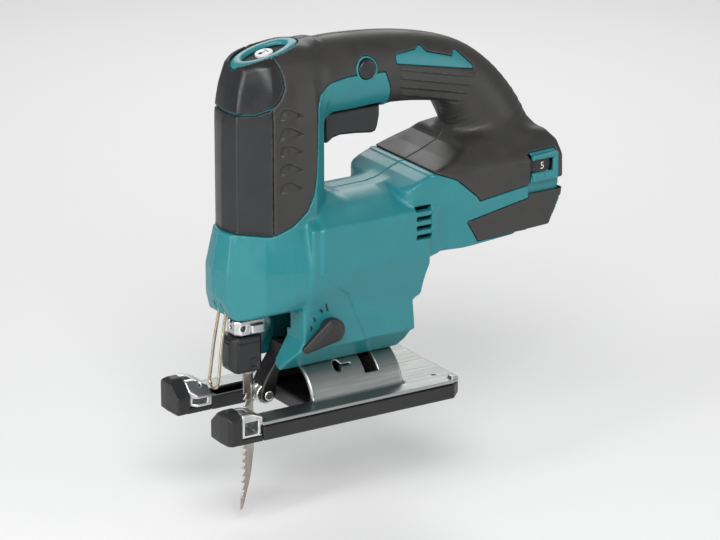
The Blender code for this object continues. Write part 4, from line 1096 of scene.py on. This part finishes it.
# A tapered capsule: the distance to the line from hub to tip, less a width that shrinks along it, under a
# crest that falls towards the tip and down both flanks, and behind it a round hub.
def orbitField(x, y, z):
    dx, dz = orbit["tip"][0] - orbit["pivot"][0], orbit["tip"][1] - orbit["pivot"][1]
    length = np.hypot(dx, dz)
    share = ((x - orbit["pivot"][0]) * dx + (z - orbit["pivot"][1]) * dz) / length ** 2
    near = np.clip(share, 0, 1)
    away = np.sqrt((x - orbit["pivot"][0] - near * dx) ** 2 + (z - orbit["pivot"][1] - near * dz) ** 2)
    side = (away - orbit["wide"] - near * (orbit["narrow"] - orbit["wide"])) * 0.95
    crest = orbit["front"] + orbit["fall"] * near + orbit["flank"] * np.clip(side + 3.4, 0, 9)
    body = smoothMax(smoothMax(side, crest - y, 0.7), y - orbit["back"], 0.5)
    hub = np.hypot(x - orbit["pivot"][0], z - orbit["pivot"][1]) - 6.0
    return smoothMin(body, np.maximum(hub, np.abs(y + 29) - 1.5), 0.3)


orbitTool = (orbitField, (-25.6, -35.7, 41), (0.4, -27.4, 59.4))
piece("orbit_key", orbitTool, 0.35, "orbital_selector", "black_plastic", "blackPlastic", "orbital_lever")


# A thin mark that follows the housing: the largest of a tool's distance, the one to a skin just proud of the
# outside, and the one under it.
def decal(tool):
    def field(x, y, z):
        outer = outerField(x, y, z)
        return np.maximum(np.maximum(tool[0](x, y, z), outer - 0.14), -(outer + 0.5))

    return field, tool[1], tool[2]


# Three half discs round the lever's tip and a bar with a hook.
def orbitMarks():
    spots = ((-12.3, 62.2, 40), (-16.5, 58.2, 20), (-18.6, 53.6, 5))
    outlines = [arc((x, z), 1.75, lean - 80, lean + 80, 9) for x, z, lean in spots]
    outlines.append([(-9.6, 66.2), (-8.6, 66.6), (-6.9, 61.9), (-7.9, 61.5)])
    outlines.append([(-9.9, 66.4), (-9.4, 65.6), (-8.2, 66.2), (-8.6, 66.9)])
    return decal(joined(*(prismField(outline, "y", -31, -26) for outline in outlines), fillet=0.05))


piece("orbit_marks", orbitMarks(), 0.2, "housing", "black_plastic", "blackPlastic")
print("controls made")

# Blade clamp: release lever, holder and socket
clamp = {
    "lever": mirroredOutline([(-55.4, 3.5), (-53, 7.5), (-51.5, 8.4), (-38.4, 8.4), (-36.2, 5.6)]),
    "leverEnds": (28, 48),
    "holder": mirroredOutline([(-52, 4.0), (-49.5, 7.0), (-34.2, 7.0)]),
    "holderEnds": (48.7, 57.3),
    "axis": (-41.5, 0), "socketRadius": 4.2, "socketEnds": (25.2, 48.2),
}
leverTool = blockField(clamp["lever"], "z", *clamp["leverEnds"], 0.3, 1.4)
leverTool = behindPlane(leverTool, (-55.4, 0, 46.0), (-1, 0, 0.9), 0.5)
leverTool = behindPlane(leverTool, (-55.4, 0, 31.0), (-1, 0, -0.8), 0.5)
leverTool = without(
    leverTool, barField("z", clamp["axis"], 20, 60, 4.5),
    boxField((-54.6, -9, 44.5), (-36, -8.0, 45.2), 0.1), boxField((-44.5, -9, 31.0), (-40.0, -7.6, 36.0), 0.5),
    boxField((-56, -5.2, 44.6), (-54.9, 5.2, 45.2), 0.1), edge=0.3,
)
piece("release_key", leverTool, 0.4, "release_lever", "black_plastic", "coverPlastic", "release_lever")
holderTool = joined(
    blockField(clamp["holder"], "z", *clamp["holderEnds"], 0.8, 1.2),
    boxField((-44, -9.4, 49.8), (-36, 9.4, 55), 1.0),
)
holderTool = without(
    holderTool, barField("z", (-40, 0), 40, 70, 4.8), barField("y", (-48, 53), -20, 20, 1.6),
    barField("x", (0, 53), -54, -50, 1.3), boxField((-60, -1.2, 55.4), (-44, 1.2, 60), 0.2), edge=0.5,
)
piece("clamp_casting", holderTool, 0.4, "plunger", "cast_aluminium", "castAluminium", "clamp_holder")


# A tube along a path: rings of a fixed radius square to the path, its ends closed by one face each.
def tubeMesh(name, path, radius, sides=12):
    path = np.asarray(path, float)
    ahead = np.gradient(path, axis=0)
    ahead /= np.linalg.norm(ahead, axis=1)[:, None]
    across = np.cross(ahead, (1.0, 0, 0))
    across /= np.linalg.norm(across, axis=1)[:, None]
    upright = np.cross(across, ahead)
    turn = np.linspace(0, 2 * np.pi, sides, endpoint=False)
    rings = path[:, None] + radius * (
        across[:, None] * np.cos(turn)[:, None] + upright[:, None] * np.sin(turn)[:, None]
    )
    return newMesh(name, rings.reshape(-1, 3), ringFaces(len(path), sides))


# Faces of a closed skin whose points are rows of rings, turned outwards for rings that run anticlockwise.
def ringFaces(rows, sides):
    index = np.arange(rows * sides).reshape(rows, sides)
    after = np.roll(index, -1, 1)
    quads = np.stack([index[:-1], after[:-1], after[1:], index[1:]], -1).reshape(-1, 4)
    return [*quads.tolist(), index[0][::-1].tolist(), index[-1].tolist()]


# Saw blade
blade = {
    "front": -44.75, "back": -38.25, "top": 44.5, "tip": -54.3, "rowStep": 0.2,
    "firstTooth": 13.0, "pitch": 4.0, "teeth": 15, "gullet": 1.75,
    "rise": 0.82, "curve": 1.7,      # share of the pitch over which a tooth rises, and the power it follows
    "lean": 0.035, "set": 0.28,      # of the toothed edge, and of the teeth to each side
}


# Front edge: each tooth rises from its gullet to its tip as a power of the share of the pitch, then falls
# straight back. Rings run round the section from the front edge, and the teeth bend left and right in turn.
def bladeMesh():
    rows = np.arange(blade["top"], blade["tip"], -blade["rowStep"])
    count = (blade["firstTooth"] - rows) / blade["pitch"]
    share = count - np.floor(count)
    top = blade["rise"]
    rise = np.where(share < top, (share / top) ** blade["curve"], (1 - share) / (1 - top))
    toothed = (count > 0) & (count < blade["teeth"])
    lean = blade["lean"] * np.maximum(blade["firstTooth"] - rows, 0)
    front = blade["front"] - lean + np.where(toothed, blade["gullet"] * (1 - rise), 0)
    front = np.maximum(front, np.interp(rows, [-54.4, -51.5, -50], [-47.4, -48.2, -60]))
    back = np.interp(rows, [-54.4, -53.2, -34.3, -20, 45], [-47.2, -45.6, -40.2, blade["back"], blade["back"]])
    across = np.array([0, 0.10, 0.26, 0.55, 0.93, 1.0, 0.93, 0.55, 0.26, 0.10])
    half = np.array([0, 0.42, 0.58, 0.6, 0.6, 0, -0.6, -0.6, -0.58, -0.42])
    side = np.where(np.floor(count) % 2 == 0, 1, -1) * np.where(toothed, rise, 0) * blade["set"]
    x = front[:, None] + (back - front)[:, None] * across
    y = np.clip(half + side[:, None] * np.clip(1 - across / 0.3, 0, 1), -0.85, 0.85)
    points = np.stack([x, y * np.ones_like(x), rows[:, None] * np.ones_like(x)], -1)
    mesh = newMesh("blade_body", points.reshape(-1, 3), ringFaces(len(rows), len(across)))
    # The toothed front's edge value makes the steel finish paint it brighter, partly rubbing and partly a
    # painted highlight.
    setAttribute(mesh, "edge", (np.clip(1 - across / 0.22, 0, 1) * toothed[:, None]).ravel())
    return mesh


place("blade_body", bladeMesh(), "plunger", "blade_steel", finishes["bladeSteel"], "saw_blade")

# Wire guard
guard = {
    "radius": 0.85,
    "side": [(-56.9, -3.6, 68), (-57.2, -3.6, 61), (-60.0, -4.1, 45), (-62.3, -4.7, 27)],
}


# Down one side, round the bottom on half a flattened circle, and up the mirror image of the first side.
def guardPath():
    turn = np.radians(np.linspace(10, 170, 9))
    bend = np.stack([-62.8 - 0.1 * np.sin(turn), -4.75 * np.cos(turn), 24.8 - 4.4 * np.sin(turn)], 1)
    other = [(x, -y, z) for x, y, z in reversed(guard["side"])]
    return smoothThrough([*guard["side"], *bend.tolist(), *other], 6)


place("guard_wire", tubeMesh("guard_wire", guardPath(), guard["radius"]), "housing", "plated_steel",
      finishes["guardWire"], "wire_guard")

# Blade socket, roller and its arm
socketOutline = arc(clamp["axis"], clamp["socketRadius"], 0, 345, 24)
socketTool = blockField(socketOutline, "z", *clamp["socketEnds"], 0.6, 1.6)
socketTool = without(
    socketTool, boxField((-45.1, -0.9, 20), (-37.9, 0.9, 45)), barField("z", clamp["axis"], 20, 27, 2.6),
)
piece("socket_sleeve", socketTool, 0.35, "plunger", "bronze_alloy", "platedSteel", "blade_socket")

roller = {"centre": (-32.0, 11.5), "radius": 6.0, "groove": 0.9, "halfWidth": 3.7, "bore": 1.8}


# A grooved wheel: the distance from its axis less its radius, more in the middle, less a bore.
def rollerField(x, y, z):
    out = np.hypot(x - roller["centre"][0], z - roller["centre"][1])
    groove = roller["groove"] * np.clip(1.5 - np.abs(y), 0, 1)
    body = smoothMax(out - roller["radius"] + groove, np.abs(y) - roller["halfWidth"], 0.8)
    return smoothMax(body, roller["bore"] - out, 0.2)


rollerTool = (rollerField, (-38.2, -3.8, 5.3), (-25.8, 3.8, 17.7))
piece("blade_roller", rollerTool, 0.3, "roller", "plated_steel", "platedSteel", "guide_roller")
arm = {
    "outline": [
        (-20, 40.3), (-15.7, 39), (-15.2, 34), (-17, 30), (-21.5, 27), (-25.3, 22.5), (-27, 15),
        (-27.8, 10), (-30, 7.8), (-34, 7.8), (-36.5, 10), (-36.2, 14), (-34.6, 19), (-31.5, 24.5),
        (-27.5, 30), (-24.5, 34), (-23.4, 38.5),
    ],
    "halfWidth": 6.1, "room": 6.6, "pivot": (-19, 36), "pivotBore": 2.3,
}
armTool = blockField(arm["outline"], "y", -arm["halfWidth"], arm["halfWidth"], 0.8, 1.0)
armTool = without(
    armTool, barField("y", roller["centre"], -4.0, 4.0, arm["room"]), boxField((-40, -4.0, 5), (-30, 4.0, 14)),
    barField("y", roller["centre"], -10, 10, roller["bore"]),
    barField("y", arm["pivot"], -10, 10, arm["pivotBore"]), edge=0.4,
)
piece("roller_fork", armTool, 0.38, "roller_arm", "dark_steel", "darkSteel", "roller_arm")
pinTool = joined(
    barField("y", roller["centre"], -6.4, 6.9, 1.5),
    blockField(arc(roller["centre"], 2.9, 0, 330, 12), "y", -7.0, -6.2, 0.4, 0.9),
)
piece("roller_rivet", pinTool, 0.22, "roller_arm", "plated_steel", "platedSteel", "roller_pin")
print("blade, clamp and roller made")

# Base: steel plate with its channel, plastic sole, cast noses and end caps
base = {
    "low": 8.2, "top": 10.4,             # of the plate
    "axisZ": 4.0, "outer": 27.0, "inner": 24.8, "channel": (-16.0, 42.0),
    "step": 0.6,
}


# The round channel over the base's axis: a bar along it, kept above the plate's underside.
def channelField(x, y, z):
    out = np.hypot(y, z - base["axisZ"])
    start, end = base["channel"]
    shell = smoothMax(out - base["outer"], np.maximum(start - x, x - end), 1.4)
    return smoothMax(shell, base["low"] - z, 0.3)


plateOutline = mirroredOutline([(-16, 17), (-54, 17), (-54, 37), (67.5, 37), (73.7, 30.2)])
plateTool = blockField(plateOutline, "z", base["low"], base["top"], 0.5, 0.9)
plateTool = joined(plateTool, (channelField, (-16, -27, 8), (42, 27, 31)), fillet=2.5)
fan = np.radians((-56, -28, 0, 28, 56))
slotWay = [(0, 6)] + [(40 * np.sin(t), base["axisZ"] + 40 * np.cos(t)) for t in fan]
plateTool = joined(
    plateTool, boxField((66.5, -37.2, 9.0), (71.0, -32.0, 12.4), 0.9),
    boxField((66.5, 32.0, 9.0), (71.0, 37.2, 12.4), 0.9), fillet=0.6,
)
plateTool = without(
    plateTool,
    barField("x", (0, base["axisZ"]), -60, 39.8, base["inner"]),
    prismField(slotWay, "x", 19.8, 28.2),
    barField("y", (4.7, 24.6), -40, -10, 2.4), boxField((6, -40, 24.2), (13, -14, 25.0)),
    barField("z", (-47, -21), 9.9, 12, 1.0), barField("z", (-43.5, -21), 9.9, 12, 0.8),
    barField("z", (63, -24), 9.8, 12, 1.3), barField("z", (63, 24), 9.8, 12, 1.3),
    barField("z", (50, 0), 9.6, 12, 2.2), edge=0.4,
)
plateTool = (plateTool[0], (-54, -37, 8.2), (73.7, 37, 31))
piece("steel_base", plateTool, base["step"], "base", "plated_steel", "plateTop", "base_plate")

sole = {
    "outside": mirroredOutline([(-16.5, 17.3), (-54, 17.3), (-54, 38), (67.5, 38), (74.5, 31)]),
    "inside": mirroredOutline([(-14, 19.3), (-50, 19.3), (-50, 35.5), (66.5, 35.5), (72, 30)]),
    "height": 7.9, "floor": 2.2, "boltRoom": 6,
}
soleTool = blockField(sole["outside"], "z", 0, sole["height"], 0.6, 1.0)
soleTool = without(
    soleTool, prismField(sole["inside"], "z", sole["floor"], 20),
    barField("z", (24, 0), -5, 5, sole["boltRoom"]), edge=0.4,
)
piece("sole_skirt", soleTool, 0.6, "base", "black_plastic", "blackPlastic", "sole_cover")

# Cast noses with their fence sockets, and the plastic end caps, made on the left
shoe = {
    "outline": [(-54.3, -17), (-54.3, -37.3), (-67, -37.3), (-67, -20), (-63, -17)], "ends": (3.2, 16.8),
}
cap = {
    "outline": [
        (-67.3, -18), (-67.3, -38), (-73.5, -38), (-75.5, -36), (-76, -29), (-75.5, -18.5), (-74.5, -17.5),
    ],
    "ends": (0.2, 18.6),
}
shoeTool = blockField(shoe["outline"], "z", *shoe["ends"], 0.8, 1.0)
shoeTool = behindPlane(shoeTool, (-60.5, 0, 16.4), (0.42, 0, 1), 0.6)
shoeTool = behindPlane(shoeTool, (0, -25.2, 17.4), (0, 1, 1), 0.8)
shoeTool = without(
    shoeTool,
    boxField((-65.3, -60, 5.0), (-57.2, -27, 12.2), 0.4), boxField((-65.3, -60, 5.0), (-57.2, 0, 8.2), 0.4),
    boxField((-70, -33, 11), (-61.0, -27, 20), 0.5), boxField((-56.2, -40, 4), (-54, -35.9, 9.4), 0.3),
    barField("z", (-59.5, -22.5), 10, 20, 1.2), edge=0.5,
)
capTool = blockField(cap["outline"], "z", *cap["ends"], 0.5, 1.0)
capTool = behindPlane(capTool, (0, -38.2, 14.0), (0, -4.6, 5.2), 0.8)
capTool = behindPlane(capTool, (0, -27.5, 18.6), (0, 9.4, 10.5), 0.8)
capTool = behindPlane(capTool, (-76.0, 0, 16.6), (-2.2, 0, 3), 0.6)
capTool = joined(capTool, boxField((-69, -37.8, 0.2), (-54.3, -17.8, 2.9), 0.4), fillet=0.3)
for label, shape, finish, slot, node in (
    ("nose_casting", shoeTool, "castAluminium", "cast_aluminium", "shoe"),
    ("nose_cap", capTool, "blackPlastic", "black_plastic", "cap"),
):
    piece("left_" + label, shape, 0.42, "base", slot, finish, "left_" + node)
    piece("right_" + label, mirroredTool(shape), 0.42, "base", slot, finish, "right_" + node)
print("base made")

# Housing screws, each with a six-pointed socket
screw = {"head": 3.2, "shank": 1.5, "starRadii": (1.75, 1.15), "step": 0.28}
for number, (px, pz, seat) in enumerate(screwPlaces, 1):
    head = blockField(arc((px, pz), screw["head"], 0, 345, 16), "y", seat + 0.3, seat + 2.4, 0.5, 1.4)
    shank = barField("y", (px, pz), -8.4, seat + 0.5, screw["shank"])
    star = [
        (px + r * np.cos(t), pz + r * np.sin(t))
        for r, t in zip(screw["starRadii"] * 6, np.radians(np.arange(0, 360, 30)))
    ]
    tool = without(joined(head, shank), prismField(star, "y", seat + 0.9, seat + 5), edge=0.2)
    piece(
        f"case_screw_{number}", tool, screw["step"], "housing", "dark_steel", "darkSteel",
        f"housing_screw_{number}",
    )
print("screws made")

# Finishes for the solids that are shown as they are
carriedOver = {
    "teal_plastic": "tealPlastic", "dark_rubber": "darkRubber", "black_plastic": "blackPlastic",
    "gloss_black": "glossBlack", "white_plastic": "whitePlastic", "plated_steel": "platedSteel",
    "blade_steel": "bladeSteel", "dark_steel": "darkSteel", "cast_aluminium": "castAluminium",
    "copper_alloy": "copperWinding", "bronze_alloy": "bronze",
}
slotOf = {part["node"]: part.get("material_slot") for part in frame["record"].get("subparts", [])}
for nodeName, node in frame["nodes"].items():
    finish = finishes[carriedOver.get(slotOf.get(nodeName), "platedSteel")]
    for index in range(len(node.data.materials)):
        node.data.materials[index] = finish
print("finishes given to the solids that stay")

# Light, floor and camera, in metres
studio = {
    "floorHeight": -0.062, "floorReach": 40.0, "floorColour": (0.93, 0.93, 0.93, 1), "sky": 0.34,
    "azimuth": -32.08, "elevation": 18.91, "lens": 200.0, "distance": 2.1938,
    "aim": (0.02555, 0.07176),      # right and up
    "lit": (0.03, 0, 0.09),         # where the lights point
}
lights = {                          # place, width and height, watts
    "keyLight": ((-0.55, -0.9, 1.0), (0.7, 0.5), 12),
    "frontStrip": ((-1.1, -0.25, 0.35), (0.18, 0.9), 5.5),
    "rimLight": ((0.6, 0.9, 0.8), (0.8, 0.5), 5),
    "fillLight": ((1.0, -0.9, 0.25), (0.5, 0.9), 3),
}


# A soft light pointed at the object.
def areaLight(name, place, size, power):
    data = bpy.data.lights.new(name, "AREA")
    data.shape, data.size, data.size_y, data.energy = "RECTANGLE", *size, power
    obj = bpy.data.objects.new(name, data)
    bpy.context.scene.collection.objects.link(obj)
    obj.location = place
    obj.rotation_euler = (Vector(studio["lit"]) - Vector(place)).to_track_quat("-Z", "Y").to_euler()


# A pale floor under an even sky.
def buildStage():
    reach, height = studio["floorReach"] / mm, studio["floorHeight"] / mm
    corners = [(a * reach, b * reach, height) for a, b in ((-1, -1), (1, -1), (1, 1), (-1, 1))]
    mat, _, shader = newMaterial("paleFloor", Roughness=0.85, Specular_IOR_Level=0.1)
    shader.inputs["Base Color"].default_value = studio["floorColour"]
    floor = bpy.data.objects.new("floor", newMesh("floor", corners, [(0, 1, 2, 3)]))
    floor.data.materials.append(mat)
    bpy.context.scene.collection.objects.link(floor)
    world = bpy.data.worlds.new("softbox")
    world.use_nodes = True
    world.node_tree.nodes["Background"].inputs[0].default_value = (1, 1, 1, 1)
    world.node_tree.nodes["Background"].inputs[1].default_value = studio["sky"]
    bpy.context.scene.world = world
    bpy.context.scene.view_settings.view_transform = "Standard"


# The camera looks along the direction of the two angles, from the given distance, moved right and up.
def buildCamera():
    azimuth, elevation = np.radians(studio["azimuth"]), np.radians(studio["elevation"])
    back = Vector((
        np.sin(azimuth) * np.cos(elevation), -np.cos(azimuth) * np.cos(elevation), np.sin(elevation),
    ))
    right = Vector((np.cos(azimuth), np.sin(azimuth), 0))
    up = back.cross(right)
    data = bpy.data.cameras.new("camera")
    data.lens, data.sensor_width, data.clip_end = studio["lens"], 36.0, 100
    camera = bpy.data.objects.new("camera", data)
    bpy.context.scene.collection.objects.link(camera)
    place = back * studio["distance"] + right * studio["aim"][0] + up * studio["aim"][1]
    turn = Matrix((right, up, back)).transposed().to_4x4()
    camera.matrix_world = Matrix.Translation(place) @ turn
    bpy.context.scene.camera = camera


buildStage()
for name, values in lights.items():
    areaLight(name, *values)
buildCamera()
print("floor, lights and camera placed")
